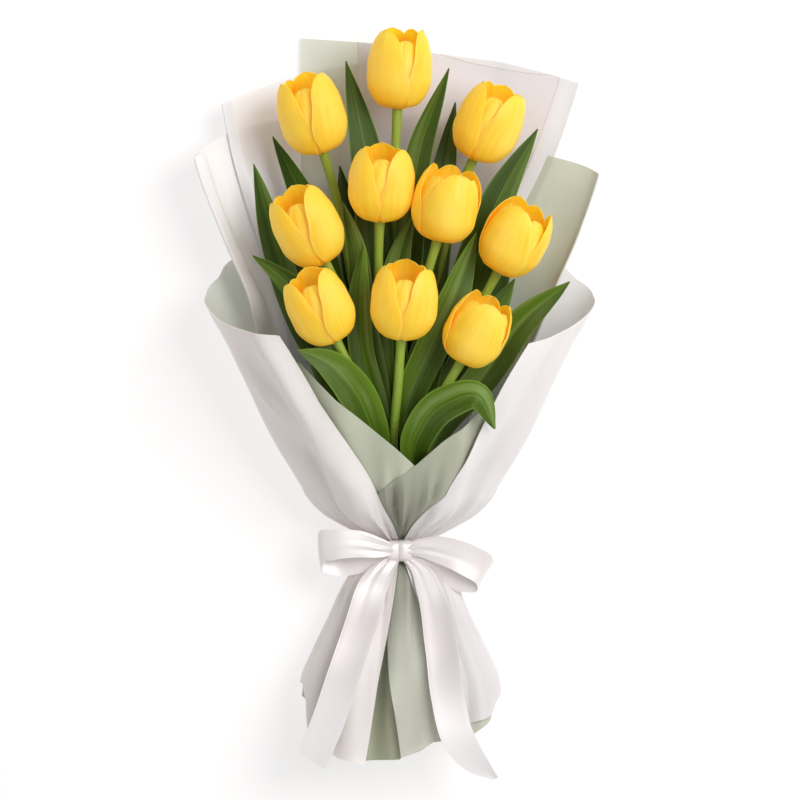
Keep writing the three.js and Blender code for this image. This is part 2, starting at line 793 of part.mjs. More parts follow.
function leafSolid(leaf, stem) {
  const grown = stem(shareAt(stem, leaf.from));
  const points = leaf.to.map(([x, h, q]) => [x, h, depth(h, q)]);
  const line = track([grown.toArray(), ...points]);
  return blade((s, t) => leafPoint(line, leaf, s, t), 2, even(6), () => LEAF_THICK);
}

const STEM_STATIONS = [-48, -10, 3, 14, 32];

function leafyStem(number) {
  const line = stemLine(HEADS[number - 1]);
  const start = line(0).y;
  const end = line(1).y;
  const upper = end > 200 ? [0.25, 0.55, 0.88] : [0.4, 0.8];
  const heights = [start, ...STEM_STATIONS, ...upper.map((u) => 32 + u * (end - 32)), end];
  const stations = heights.map((h) => (h - start) / (end - start));
  const parts = [bar(line, () => STEM_RADIUS, STEM_SIDES, stations)];
  for (const leaf of LEAVES.filter((each) => each.stem === number)) {
    parts.push(leafSolid(leaf, line));
  }
  return fuse(parts);
}

// The ribbon.
const OUTERMOST = 4 * PAPER_PITCH + PAPER;
const BAND_FLOOR = WAIST_LIFT - 0.6;

function ribbonBand() {
  const points = [];
  const triangles = [];
  const count = 32;
  const gap = OUTERMOST + 1.3;
  const section = [[-6, 0], [6, 0], [6, RIBBON_THICK], [-6, RIBBON_THICK]];
  const middle = ground(0) + 0.9 * HALF_DEPTH(0);
  for (let i = 0; i < count; i += 1) {
    const turn = (2 * Math.PI * i) / count;
    for (const [y, out] of section) {
      const w = HALF_WIDTH(0) + gap + out;
      const d = HALF_DEPTH(0) + gap + out;
      const z = Math.max(middle - d * Math.cos(turn), BAND_FLOOR - out);
      points.push(new THREE.Vector3(w * Math.sin(turn), y, z));
    }
  }
  for (let i = 0; i < count; i += 1) {
    const a = i * 4;
    const b = ((i + 1) % count) * 4;
    for (let k = 0; k < 4; k += 1) {
      const n = (k + 1) % 4;
      triangles.push([a + k, b + k, b + n], [a + k, b + n, a + n]);
    }
  }
  return solid(points, triangles);
}

const BAND_FRONT = ground(0) + 0.9 * HALF_DEPTH(0) + HALF_DEPTH(0) + OUTERMOST + 1.3 + RIBBON_THICK;
const KNOT = { x: 0, y: -1, z: BAND_FRONT + SEAT, wide: 9.2, tall: 8.2, thick: 8 };

function knot() {
  const points = [];
  const triangles = [];
  const rings = [0, 0.5, 0.82, 1, 0.96, 0.6];
  const heights = [0, 0.02, 0.18, 0.5, 0.82, 1];
  const sides = 10;
  for (let j = 0; j < rings.length; j += 1) {
    for (let i = 0; i < sides; i += 1) {
      const turn = (2 * Math.PI * i) / sides;
      const box = (c) => Math.sign(c) * Math.abs(c) ** 0.6;
      const reach = 0.45 + 0.55 * rings[j];
      const crease = 1 - 0.22 * heights[j] * Math.exp(-((Math.sin(turn) * 2.2) ** 2));
      points.push(
        new THREE.Vector3(
          KNOT.x + KNOT.wide * reach * box(Math.sin(turn)),
          KNOT.y + KNOT.tall * reach * box(Math.cos(turn)) * crease,
          KNOT.z + KNOT.thick * heights[j],
        ),
      );
    }
  }
  for (let j = 0; j < rings.length - 1; j += 1) {
    for (let i = 0; i < sides; i += 1) {
      const [a, b] = [j * sides + i, j * sides + ((i + 1) % sides)];
      triangles.push([a, b, b + sides], [a, b + sides, a + sides]);
    }
  }
  const top = (rings.length - 1) * sides;
  for (let i = 1; i < sides - 1; i += 1) {
    triangles.push([0, i + 1, i], [top, top + i, top + i + 1]);
  }
  return solid(points, triangles);
}

// A strip of ribbon along a line of [x, y, z, half width, angle] points. The angle turns the
// strip's width in the plane of the picture, 90 being straight up it.
function strip(points, along) {
  const line = track(points.map((p) => p.slice(0, 3)));
  const lengths = [0];
  for (let i = 1; i < points.length; i += 1) {
    const gap = Math.hypot(...[0, 1, 2].map((k) => points[i][k] - points[i - 1][k]));
    lengths.push(lengths[i - 1] + gap);
  }
  const whole = lengths[lengths.length - 1];
  const half = profile(points.map((p, i) => [lengths[i] / whole, p[3]]));
  const angle = profile(points.map((p, i) => [lengths[i] / whole, p[4]]));
  const point = (s, t) => {
    const turn = angle(t) * RAD;
    const across = new THREE.Vector3(Math.cos(turn), Math.sin(turn), 0);
    return line(t).addScaledVector(across, half(t) * s);
  };
  return blade(point, 2, even(along), () => RIBBON_THICK);
}

const BOW_Z = KNOT.z + KNOT.thick / 2;
const LEFT_LOOP = [
  [-5, 0, BOW_Z + 2.5, 4, 88],
  [-14, 1.5, BOW_Z + 5, 7, 86],
  [-30, 4.5, BOW_Z + 8, 10, 86],
  [-50, 4, BOW_Z + 8, 11.5, 90],
  [-60.5, 2, BOW_Z + 3, 12.2, 92],
  [-61, -2.5, BOW_Z - 1.5, 12.4, 92],
  [-50, -7.5, BOW_Z - 4, 12, 92],
  [-30, -8.5, BOW_Z - 2.5, 9.5, 96],
  [-14, -5, BOW_Z - 1, 6.5, 94],
  [-5, -1.5, BOW_Z - 1.5, 4, 90],
];
const RIGHT_LOOP = [
  [5, 0, BOW_Z + 2.5, 4, 92],
  [15, 1.5, BOW_Z + 5, 7, 88],
  [32, -0.5, BOW_Z + 8, 10.5, 80],
  [52, -8, BOW_Z + 8.5, 12, 66],
  [64, -16, BOW_Z + 3.5, 12.3, 63],
  [64, -20.5, BOW_Z - 1, 12.3, 63],
  [51, -21, BOW_Z - 2.5, 12, 66],
  [32, -14, BOW_Z + 0.5, 9.5, 72],
  [14.5, -6, BOW_Z + 1, 6.5, 82],
  [5, -2.5, BOW_Z - 1.5, 4, 90],
];

function skirtFront(x, h) {
  const w = HALF_WIDTH(h) + OUTERMOST;
  const across = Math.sqrt(Math.max(1 - (x / w) ** 2, 0));
  return ground(h) + 0.9 * HALF_DEPTH(h) + (HALF_DEPTH(h) + OUTERMOST) * across;
}

// A tail lies over the front of the skirt: [x, height, half width, angle, distance above it] points.
function tail(points) {
  return points.map(([x, h, half, turn, over]) => [x, h, skirtFront(x, h) + over, half, turn]);
}

const LEFT_TAIL = tail([
  [-3, -4, 4.5, -4, 5.5],
  [-11, -12, 8, -10, 6.5],
  [-20, -26, 11, -16, 7],
  [-28, -52, 12.3, -20, 7],
  [-43.5, -97, 12.4, -22, 8.5],
  [-53, -125, 12.4, -24, 9],
  [-66, -157, 12, -32, 9],
]);
const RIGHT_TAIL = tail([
  [3, -4, 4.5, 4, 5.5],
  [14, -13, 7, 6, 6.5],
  [23, -32, 10, 8, 7],
  [31, -72, 12.2, 3, 7],
  [35.5, -108, 12.4, 6, 9],
  [43, -138, 12.4, 14, 9.5],
  [56, -158, 9.5, 26, 7],
  [72, -171, 2, 40, 8],
]);

function ribbonBow() {
  return fuse([
    knot(),
    strip(LEFT_LOOP, 12),
    strip(RIGHT_LOOP, 12),
    strip(LEFT_TAIL, 9),
    strip(RIGHT_TAIL, 10),
  ]);
}

// Colours as seen: sRGB, roughness.
const LOOKS = {
  bloom: [0xffc83a, 0.5],
  stem: [0x5d8a3a, 0.5],
  white: [0xebe4e4, 0.6],
  sage: [0xb9c0a8, 0.6],
  ribbon: [0xf3e9e6, 0.35],
};

const group = new THREE.Group();

function node(name, body, look) {
  const mesh = body.getMesh();
  const corners = new THREE.BufferAttribute(new Float32Array(mesh.vertProperties), 3);
  const geometry = new THREE.BufferGeometry();
  geometry.setAttribute("position", corners);
  geometry.setIndex(new THREE.BufferAttribute(new Uint32Array(mesh.triVerts), 1));
  const [color, roughness] = LOOKS[look];
  const material = new THREE.MeshStandardMaterial({ color, roughness, metalness: 0 });
  const item = new THREE.Mesh(geometry, material);
  item.name = name;
  group.add(item);
}

HEADS.forEach((head, i) => {
  const number = String(i + 1).padStart(2, "0");
  node(`bloom_${number}`, bloom(head), "bloom");
  node(`stem_${number}`, leafyStem(i + 1), "stem");
});
for (const [name, spec] of Object.entries(SHEETS)) {
  node(name, sheet(spec), name.includes("sage") || name.includes("liner") ? "sage" : "white");
}
node("ribbon_band", ribbonBand(), "ribbon");
node("ribbon_bow", ribbonBow(), "ribbon");

// The origin is at the middle of the underside.
const box = new THREE.Box3().setFromObject(group);
const shift = new THREE.Vector3(-(box.min.x + box.max.x) / 2, -(box.min.y + box.max.y) / 2, -box.min.z);
for (const item of group.children) {
  item.geometry.translate(shift.x, shift.y, shift.z);
}

export default group;
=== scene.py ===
"""A bunch of ten yellow tulips in layered wrapping paper with a satin bow, lying on its back.

Shapes are worked out in millimetres round the tie, as in the part's source, and then moved to the
row frame and to metres.
"""
import math
from functools import partialmethod

import bpy
import numpy as np
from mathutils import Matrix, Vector


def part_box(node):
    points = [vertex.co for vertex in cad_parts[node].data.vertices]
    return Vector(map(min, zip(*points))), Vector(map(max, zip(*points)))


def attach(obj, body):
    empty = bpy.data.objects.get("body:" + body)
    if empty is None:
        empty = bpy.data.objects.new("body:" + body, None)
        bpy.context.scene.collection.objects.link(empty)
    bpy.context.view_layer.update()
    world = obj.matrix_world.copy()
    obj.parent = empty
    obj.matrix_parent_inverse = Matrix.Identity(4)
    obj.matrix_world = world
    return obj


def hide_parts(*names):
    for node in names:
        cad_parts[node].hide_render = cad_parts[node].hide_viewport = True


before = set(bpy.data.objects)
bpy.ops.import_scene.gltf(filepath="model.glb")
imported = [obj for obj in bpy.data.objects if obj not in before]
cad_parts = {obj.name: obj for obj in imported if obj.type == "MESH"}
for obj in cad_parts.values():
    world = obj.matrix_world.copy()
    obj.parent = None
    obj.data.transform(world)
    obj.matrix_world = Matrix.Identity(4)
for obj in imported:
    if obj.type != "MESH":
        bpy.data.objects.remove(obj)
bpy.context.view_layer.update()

BAND_LOW, BAND_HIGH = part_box("ribbon_band")
TIE = np.array([(BAND_LOW.x + BAND_HIGH.x) / 2, (BAND_LOW.y + BAND_HIGH.y) / 2, 0.0])
MM = 0.001

# Driving dimensions, as in the part's source.
STEM_RADIUS = 3.5
STEM_PITCH = 6.7
CUT_END = -138
HEAD_HEIGHT = 60
HEAD_RADIUS = 24.5
TEPAL_THICK = 1.1
LEAF_THICK = 0.9
PAPER = 0.6
PAPER_PITCH = 1
LAYERS_UNDER = 3
WAIST_LIFT = 3
RIBBON_THICK = 0.8
SEAT = 0.3
RAD = math.pi / 180
UP = np.array([0, 0, 1.0])


# Curves


def spline(xs, ys, slope, step):
    """A smooth curve through ys at xs, which are step apart. The ys can be numbers or points."""

    def at(x):
        x = np.clip(x, xs[0], xs[-1])
        i = np.clip(np.searchsorted(xs, x, side="right") - 1, 0, len(step) - 1)
        t, gap = (x - xs[i]) / step[i], step[i]
        if ys.ndim == 2:
            t, gap = t[..., None], gap[..., None]
        t2 = t * t
        t3 = t2 * t
        ends = ys[i] * (2 * t3 - 3 * t2 + 1) + ys[i + 1] * (3 * t2 - 2 * t3)
        return ends + gap * (slope[i] * (t3 - 2 * t2 + t) + slope[i + 1] * (t3 - t2))

    return at


def profile(points):
    """A smooth curve through (x, y) pairs that never swings past them."""
    xs, ys = np.array(points, float).T
    step = np.diff(xs)
    rise = np.diff(ys) / step
    slope = np.zeros(len(xs))
    slope[0], slope[-1] = rise[0], rise[-1]
    for i in range(1, len(xs) - 1):
        if rise[i - 1] * rise[i] > 0:
            a = 2 * step[i] + step[i - 1]
            b = step[i] + 2 * step[i - 1]
            slope[i] = (a + b) / (a / rise[i - 1] + b / rise[i])
    return spline(xs, ys, slope, step)


def steps(points):
    """Straight lines between (x, y) pairs."""
    xs, ys = np.array(points, float).T
    return lambda x: np.interp(x, xs, ys)


def always(value):
    return lambda x: np.full(np.shape(x), float(value))


def track(points):
    """A smooth line in space through points, by t from 0 to 1 along it."""
    pts = np.array(points, float)
    gaps = np.linalg.norm(np.diff(pts, axis=0), axis=1)
    at = np.concatenate([[0], np.cumsum(gaps)])
    rise = np.diff(pts, axis=0) / gaps[:, None]
    weighted = rise[:-1] * gaps[1:, None] + rise[1:] * gaps[:-1, None]
    inner = weighted / (gaps[:-1] + gaps[1:])[:, None]
    line = spline(at, pts, np.concatenate([rise[:1], inner, rise[-1:]]), gaps)
    return lambda t: line(np.clip(t, 0, 1) * at[-1])


def smooth(low, high, x):
    """Rises smoothly from 0 at low to 1 at high, and the other way round if low is higher."""
    t = np.clip((x - low) / (high - low), 0, 1)
    return t * t * (3 - 2 * t)


def unit(v):
    return v / (np.linalg.norm(v, axis=-1, keepdims=True) + 1e-12)


def bell(x, centre, width):
    """One where x is the centre, falling to nothing about two widths away."""
    return np.exp(-(((x - centre) / width) ** 2))


# Meshes


class Build:
    """Collects one piece: points in mm round the tie, faces, and what its materials read."""

    def __init__(self):
        self.points, self.faces, self.looks, self.place, self.tone = [], [], [], [], []
        self.count = 0

    def add(self, points, faces, look, place, tone=0):
        """Adds a closed part. The look is one number, or one for each face."""
        points = points.reshape(-1, 3)
        self.points.append(points)
        self.faces += [[int(i) + self.count for i in face] for face in faces]
        self.looks += list(look) if np.ndim(look) else [int(look)] * len(faces)
        self.place.append(place.reshape(-1, 3))
        self.tone.append(np.full(len(points), float(tone)))
        self.count += len(points)

    def add_shell(self, points, thickness, place, tone=0, middle=None):
        """A grid of points (rows, columns, 3) given a thickness.

        If a middle is given, the skin that faces it gets the second look."""
        rows, cols = points.shape[:2]
        normal = unit(np.cross(np.gradient(points, axis=1), np.gradient(points, axis=0)))
        half = normal * (thickness / 2)[..., None]
        skins = [(points + half).reshape(-1, 3), (points - half).reshape(-1, 3)]
        count = rows * cols
        front = grid_faces(rows, cols)
        back = grid_faces(rows, cols, first=count, flip=True)
        ids = np.arange(count).reshape(rows, cols)
        border = [*ids[:, 0], *ids[-1, 1:], *ids[-2::-1, -1], *ids[0, -2:0:-1]]
        rim = [[a, b, b + count, a + count] for a, b in zip(border, border[1:] + border[:1])]
        looks = [0] * (2 * len(front) + len(rim))
        if middle is not None:
            reach = [np.linalg.norm(skin - middle, axis=1).mean() for skin in skins]
            start = len(front) if reach[0] > reach[1] else 0
            looks[start : start + len(front)] = [1] * len(front)
        place = np.concatenate([place.reshape(-1, 3)] * 2)
        self.add(np.concatenate(skins), [*front, *back, *rim], looks, place, tone)

    def piece(self, name, materials, nodes, sharp=60):
        points = np.concatenate(self.points) * MM + TIE
        mesh = bpy.data.meshes.new(name)
        mesh.from_pydata(points.tolist(), [], self.faces)
        for m in materials:
            mesh.materials.append(m)
        mesh.polygons.foreach_set("material_index", np.array(self.looks, np.int32))
        mesh.polygons.foreach_set("use_smooth", np.ones(len(self.faces), bool))
        place = mesh.attributes.new("place", "FLOAT_VECTOR", "POINT")
        place.data.foreach_set("vector", np.concatenate(self.place).astype(np.float32).ravel())
        tone = mesh.attributes.new("tone", "FLOAT", "POINT")
        tone.data.foreach_set("value", np.concatenate(self.tone).astype(np.float32))
        mesh.update()
        mesh.set_sharp_from_angle(angle=sharp * RAD)
        obj = bpy.data.objects.new(name, mesh)
        bpy.context.scene.collection.objects.link(obj)
        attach(obj, "root")
        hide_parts(*nodes)
        return obj


def grid_faces(rows, cols, first=0, flip=False, wrap=False):
    ids = np.arange(rows * cols).reshape(rows, cols) + first
    if wrap:
        ids = np.hstack([ids, ids[:, :1]])
    quads = np.stack([ids[:-1, :-1], ids[:-1, 1:], ids[1:, 1:], ids[1:, :-1]], -1)
    return quads.reshape(-1, 4)[:, :: -1 if flip else 1].tolist()


def barrel_faces(rows, cols, flip=False):
    """The faces of a stack of rings, closed at both ends."""
    first = list(range(cols))
    last = [(rows - 1) * cols + i for i in first]
    ends = [first, last[::-1]] if flip else [first[::-1], last]
    return grid_faces(rows, cols, flip=flip, wrap=True) + ends


def tube(centres, radii, sides):
    """A closed round bar through centres, with its radius at each."""
    ahead = unit(np.gradient(centres, axis=0))
    across = unit(np.cross(ahead, UP))
    out = np.cross(across, ahead)
    turn = (np.arange(sides) * 2 * math.pi / sides)[None, :, None]
    ring = across[:, None] * np.sin(turn) + out[:, None] * np.cos(turn)
    return centres[:, None] + ring * radii[:, None, None], barrel_faces(len(centres), sides)


# Materials


class Graph:
    """A short way to write a node material."""

    def __init__(self, name):
        self.material = bpy.data.materials.new(name)
        self.material.use_nodes = True
        self.tree = self.material.node_tree
        self.tree.nodes.clear()
        self.colour = None

    def node(self, kind, sockets=(), inputs=(), **settings):
        """A new node with values or links in some of its input sockets. Returns its outputs."""
        made = self.tree.nodes.new("ShaderNode" + kind)
        for key, value in settings.items():
            setattr(made, key, value)
        for key, value in zip(sockets, inputs):
            self.put(made.inputs[key], value)
        return made.outputs

    def put(self, socket, value):
        if isinstance(value, bpy.types.NodeSocket):
            self.tree.links.new(value, socket)
        elif socket.type == "RGBA":
            socket.default_value = (*value, 1)
        else:
            socket.default_value = value

    def attribute(self, name, output):
        return self.node("Attribute", attribute_name=name)[output]

    def where(self):
        return self.node("TexCoord")["Object"]

    def split(self, vector):
        return self.node("SeparateXYZ", [0], [vector])

    def place(self):
        return self.split(self.attribute("place", "Vector"))

    def join(self, *xyz):
        return self.node("CombineXYZ", range(3), xyz)[0]

    def math(self, operation, a, b=0):
        return self.node("Math", range(2), (a, b), operation=operation)[0]

    times = partialmethod(math, "MULTIPLY")
    plus = partialmethod(math, "ADD")
    size = partialmethod(math, "ABSOLUTE")

    def blend(self, a, b, share):
        """A share of a and the rest of b."""
        return self.plus(self.times(a, share), self.times(b, 1 - share))

    def noise(self, vector, scale, detail=3, roughness=0.5):
        sockets = ("Vector", "Scale", "Detail", "Roughness")
        return self.node("TexNoise", sockets, (vector, scale, detail, roughness))[0]

    def grain(self, x, x_scale, y, y_scale, z, detail=3, roughness=0.5):
        """Noise that is finer along x and y by their scales."""
        where = self.join(self.times(x, x_scale), self.times(y, y_scale), z)
        return self.noise(where, 1, detail, roughness)

    def span(self, value, low, high, to_low=0, to_high=1):
        """A smooth change as the value goes from low to high."""
        sockets = ("Value", "From Min", "From Max", "To Min", "To Max")
        inputs = (value, low, high, to_low, to_high)
        return self.node("MapRange", sockets, inputs, interpolation_type="SMOOTHSTEP")[0]

    def fade(self, value, low, high, start=1):
        return self.span(value, low, high, start, 0)

    def mix(self, factor, a, b):
        # 0, 6, 7 and 2 are the sockets that a Mix node uses for colours
        return self.node("Mix", (0, 6, 7), (factor, a, b), data_type="RGBA")[2]

    def tint(self, factor, strength, other):
        """Mixes another colour into the colour, by a factor and a strength."""
        factor = self.times(factor, strength) if strength < 1 else factor
        self.colour = self.mix(factor, self.colour, other)

    def bump(self, height, strength, distance):
        sockets = ("Height", "Strength", "Distance")
        return self.node("Bump", sockets, (height, strength, distance))[0]

    def finish(self, skin=(), **inputs):
        """The shader. Skin is the weight, radius and scale of the light under the surface."""
        inputs.update(zip(("Subsurface_Weight", "Subsurface_Radius", "Subsurface_Scale"), skin))
        sockets = ["Base Color"] + [key.replace("_", " ") for key in inputs]
        shader = self.node("BsdfPrincipled", sockets, [self.colour, *inputs.values()])
        self.node("OutputMaterial", [0], [shader[0]])
        return self.material


def petal_material(name, inside):
    """Place holds the way across, the way up and the petal's number; tone is the bloom's number."""
    g = Graph(name)
    across, up, number = g.place()
    seed = g.plus(g.times(number, 3.7), g.times(g.attribute("tone", "Fac"), 11))
    streaks = g.grain(across, 9, up, 1.3, seed, 4, 0.6)
    fine = g.grain(across, 34, up, 2, seed, 3, 0.6)
    clouds = g.grain(across, 1.2, up, 1.8, seed, 2)
    warm = (1, 0.49, 0.008) if inside else (1, 0.52, 0.02)
    pale = (1, 0.59, 0.022) if inside else (1, 0.63, 0.05)
    g.colour = g.mix(g.span(streaks, 0.25, 0.75), warm, pale)
    g.tint(g.span(clouds, 0.4, 0.7), 0.4, (1, 0.68, 0.1))
    off = g.size(across)
    # painted highlight: paler in the middle of a petal, about half way up
    half_way_up = g.times(g.span(up, 0.15, 0.45), g.span(up, 0.6, 0.95, 1, 0.3))
    centre_highlight = g.times(g.fade(off, 0, 0.75), half_way_up)
    g.tint(centre_highlight, 0.55, (1, 0.7, 0.13))
    edge, tip = g.span(off, 0.9, 1), g.span(up, 0.72, 1)
    # painted highlight: paler edges, where they catch the light
    g.tint(edge, 0.45, (1, 0.73, 0.14))
    g.tint(tip, 0.3, (1, 0.7, 0.09))
    foot, rib = g.fade(up, 0, 0.25), g.fade(off, 0, 0.07)
    g.tint(foot, 0.7, (0.8, 0.38, 0.01))
    g.tint(rib, 0.1, (0.9, 0.45, 0.01))
    return g.finish(
        Roughness=g.span(fine, 0.2, 0.8, 0.42, 0.56),
        Specular_IOR_Level=0.4,
        skin=(0.7, (1, 0.55, 0.08), 0.006),
        # painted glow: an orange emission that stands in for light shining through the petals
        Emission_Color=(1, 0.52, 0.012),
        Emission_Strength=0.1,
        Normal=g.bump(g.blend(streaks, fine, 0.6), 0.25, 0.0004),
    )


def leaf_material():
    """Place holds the way across, the way along and the leaf's number; tone how near the front,
    which sets a painted shade that makes leaves further back darker.
    """
    g = Graph("leaf green")
    across, along, number = g.place()
    nearness = g.attribute("tone", "Fac")
    seed = g.times(number, 5.3)
    veins = g.grain(across, 12, along, 0.8, seed, 3, 0.65)
    fine = g.grain(across, 40, along, 2.5, seed, 2)
    clouds = g.grain(across, 0.8, along, 2.2, seed)
    bands = g.grain(across, 1.7, along, 1.1, seed, 2)
    vein = g.span(veins, 0.25, 0.75)
    # painted shade: the deep green is for leaves further back in the bunch, the fresh green for
    # those near the front
    deep = g.mix(vein, (0.017, 0.043, 0.002), (0.04, 0.088, 0.004))
    fresh = g.mix(vein, (0.072, 0.138, 0.008), (0.125, 0.22, 0.013))
    g.colour = g.mix(nearness, deep, fresh)
    dusty = g.times(
        g.span(g.blend(clouds, bands, 0.5), 0.42, 0.64), g.span(nearness, 0, 1, 0.28, 0.8)
    )
    g.tint(dusty, 1, (0.225, 0.31, 0.1))
    # painted shade: one half of a leaf is darker, as if turned away from the light, on either side
    # by its number
    half = g.times(across, g.math("SINE", g.times(number, 2.4)))
    g.tint(g.span(half, -0.02, 0.02), 0.45, (0.012, 0.034, 0.003))
    off = g.size(across)
    midrib, edge, base = g.fade(off, 0, 0.07), g.span(off, 0.9, 1), g.fade(along, 0, 0.3)
    g.tint(midrib, 0.45, (0.15, 0.29, 0.035))
    g.tint(edge, 0.6, (0.22, 0.36, 0.06))
    g.tint(base, 0.5, (0.15, 0.27, 0.03))
    return g.finish(
        Roughness=g.span(fine, 0.2, 0.8, 0.36, 0.5),
        Specular_IOR_Level=0.13,
        skin=(0.12, (0.3, 1, 0.1), 0.002),
        Normal=g.bump(g.blend(veins, fine, 0.6), 0.4, 0.0004),
    )


def stem_material():
    """Place holds the way round, the way up and the stem's number."""
    g = Graph("stem green")
    up = g.place()[1]
    where = g.where()
    x, y, z = g.split(where)
    streaks = g.grain(x, 900, y, 22, g.times(z, 900))
    clouds = g.noise(where, 45, 2)
    g.colour = g.mix(g.span(streaks, 0.3, 0.7), (0.17, 0.27, 0.022), (0.3, 0.42, 0.045))
    g.tint(g.span(clouds, 0.4, 0.7), 0.5, (0.2, 0.34, 0.04))
    neck, cut = g.span(up, 0.75, 1), g.fade(up, 0, 0.004)
    g.tint(neck, 0.6, (0.31, 0.43, 0.05))
    g.tint(cut, 1, (0.5, 0.56, 0.25))
    return g.finish(
        Roughness=g.span(streaks, 0.2, 0.8, 0.36, 0.5),
        Specular_IOR_Level=0.45,
        skin=(0.12, (0.5, 1, 0.1), 0.003),
        Normal=g.bump(streaks, 0.3, 0.0003),
    )


def paper_material(name, light, dark, roughness, glow=0, bow_shade=(0.4, 50, -30), low_shade=0):
    """Pearl paper: soft clouds of tone, a fine felt of fibres and shallow handling creases, with a
    painted highlight along a front edge and painted shade low on the right of the skirt.

    Place holds the turn, the height and the distance from a front edge. The bow_shade is the
    strength of the painted shade under the bow and the heights where it ends. The low_shade is that
    of the painted shade at the bottom. The glow is the strength of a painted glow that stands in
    for light through the paper."""
    g = Graph(name)
    where = g.where()
    clouds = g.noise(where, 14)
    x, y, z = g.split(where)
    brushed = g.grain(x, 60, y, 9, g.times(z, 60))
    fibres = g.noise(where, 900, 4, 0.7)
    creases = g.noise(where, 30, 3, 0.55)
    g.colour = g.mix(g.span(clouds, 0.32, 0.68), dark, light)
    g.tint(g.span(brushed, 0.35, 0.7), 0.35, light)
    g.tint(g.span(fibres, 0.45, 0.75), 0.12, dark)
    turn, up, from_edge = g.place()
    lit_edge = g.times(g.fade(from_edge, 4, 30), g.span(up, -10, 20, 0, 0.8))
    g.tint(lit_edge, 1, [min(0.93, 1.12 * c) for c in light])
    # painted shade: darker low on the right of the skirt
    skirt = g.times(g.fade(up, -60, -10), g.span(turn, 50, 100))
    g.tint(skirt, 0.27, (0.4, 0.38, 0.4))
    strength, top, bottom = bow_shade
    # painted shade in the front V under the bow, between its top and bottom heights
    painted_bow_shade = g.times(g.fade(up, 4, top), g.span(g.size(turn), 140, 178))
    painted_bow_shade = g.times(painted_bow_shade, g.span(up, bottom, 4))
    g.tint(painted_bow_shade, strength, (0.12, 0.12, 0.09))
    # painted shade: darker towards the bottom of the sheet
    if low_shade:
        g.tint(g.fade(up, -60, -20, low_shade), 1, (0.14, 0.155, 0.075))
    height = g.plus(g.times(fibres, 0.1), creases)
    return g.finish(
        Roughness=g.span(fibres, 0.2, 0.8, roughness - 0.05, roughness + 0.08),
        Specular_IOR_Level=0.5,
        skin=(0.3, (1, 0.95, 0.92), 0.003),
        Sheen_Weight=0.15,
        Sheen_Roughness=0.35,
        # painted glow: a faint bluish emission that stands in for light through the paper
        Emission_Color=(0.94, 0.94, 1),
        Emission_Strength=glow,
        Normal=g.bump(height, 0.2, 0.0014),
    )


# The step in the number that tells the satin of one part of the bow from the next.
PART_STEP = 9.1


def satin_material():
    """Place holds the way across and along the ribbon in mm, and the part's number times a step."""
    g = Graph("white satin")
    across, along, part = g.place()
    weft = g.grain(across, 0.7, along, 7, part, 2)
    warp = g.grain(across, 5, along, 0.18, part, 3, 0.6)
    drift = g.grain(across, 0.02, along, 0.012, part, 1)
    g.colour = g.mix(g.span(drift, 0.3, 0.7), (0.85, 0.785, 0.77), (0.885, 0.83, 0.82))
    g.tint(g.span(warp, 0.35, 0.7), 0.3, (0.91, 0.875, 0.875))
    # the loops are parts 1 and 2, and the tails and the knot come after them
    on_tail = g.span(part, 19, 26)
    # painted shade: darker over the middle of each tail
    middle = g.times(g.span(along, 25, 55), g.fade(along, 75, 130))
    g.tint(g.times(on_tail, g.times(middle, 0.55)), 1, (0.52, 0.465, 0.46))
    # painted highlight: lighter towards the end of each tail
    tip = g.span(along, 110, 160, 0, 0.7)
    g.tint(g.times(on_tail, tip), 1, (0.95, 0.93, 0.93))
    selvedge = g.span(g.size(across), 11.4, 12)
    g.tint(selvedge, 0.5, (0.92, 0.89, 0.89))
    return g.finish(
        Roughness=g.span(warp, 0.2, 0.8, 0.4, 0.5),
        Metallic=0.25,
        Specular_IOR_Level=0.6,
        Anisotropic=0.5,
        Sheen_Weight=0.25,
        Sheen_Roughness=0.3,
        Normal=g.bump(g.blend(weft, warp, 0.5), 0.08, 0.0002),
    )


PETAL_OUT = petal_material("petal outside", inside=False)
PETAL_IN = petal_material("petal inside", inside=True)
LEAF = leaf_material()
STEM = stem_material()
WHITE = paper_material("white paper", (0.84, 0.795, 0.785), (0.79, 0.74, 0.725), 0.42)
PEARL = paper_material("white paper inside", (0.87, 0.84, 0.85), (0.82, 0.785, 0.795), 0.45)
# a lighter, bluish copy of the white paper with a painted glow: painted light for the back sheets,
# which lie in shade
LIT_WHITE = paper_material(
    "bright white paper", (0.88, 0.875, 0.91), (0.83, 0.825, 0.86), 0.42, glow=0.035
)
# a darker copy of the white paper: painted shade for the back sheet's inner face
SHADED_WHITE = paper_material("shaded white paper", (0.73, 0.71, 0.755), (0.67, 0.65, 0.695), 0.45)
WARM = paper_material("warm white paper", (0.855, 0.78, 0.75), (0.805, 0.725, 0.69), 0.42)
# the right liner's sage, with a stronger painted shade under the bow
SAGE = paper_material(
    "sage paper", (0.53, 0.54, 0.42), (0.46, 0.475, 0.365), 0.5, bow_shade=(0.7, 100, -90)
)
# the left liner's sage, with painted shade at its bottom
LOW_SHADED_SAGE = paper_material("left sage paper", (0.62, 0.635, 0.49), (0.54, 0.56, 0.43), 0.5, low_shade=0.6)
DEEP_SAGE = paper_material("deep sage paper", (0.66, 0.71, 0.61), (0.58, 0.635, 0.54), 0.5)
PALE_SAGE = paper_material("pale sage paper", (0.68, 0.715, 0.64), (0.61, 0.645, 0.57), 0.5)
SATIN = satin_material()


# Paper

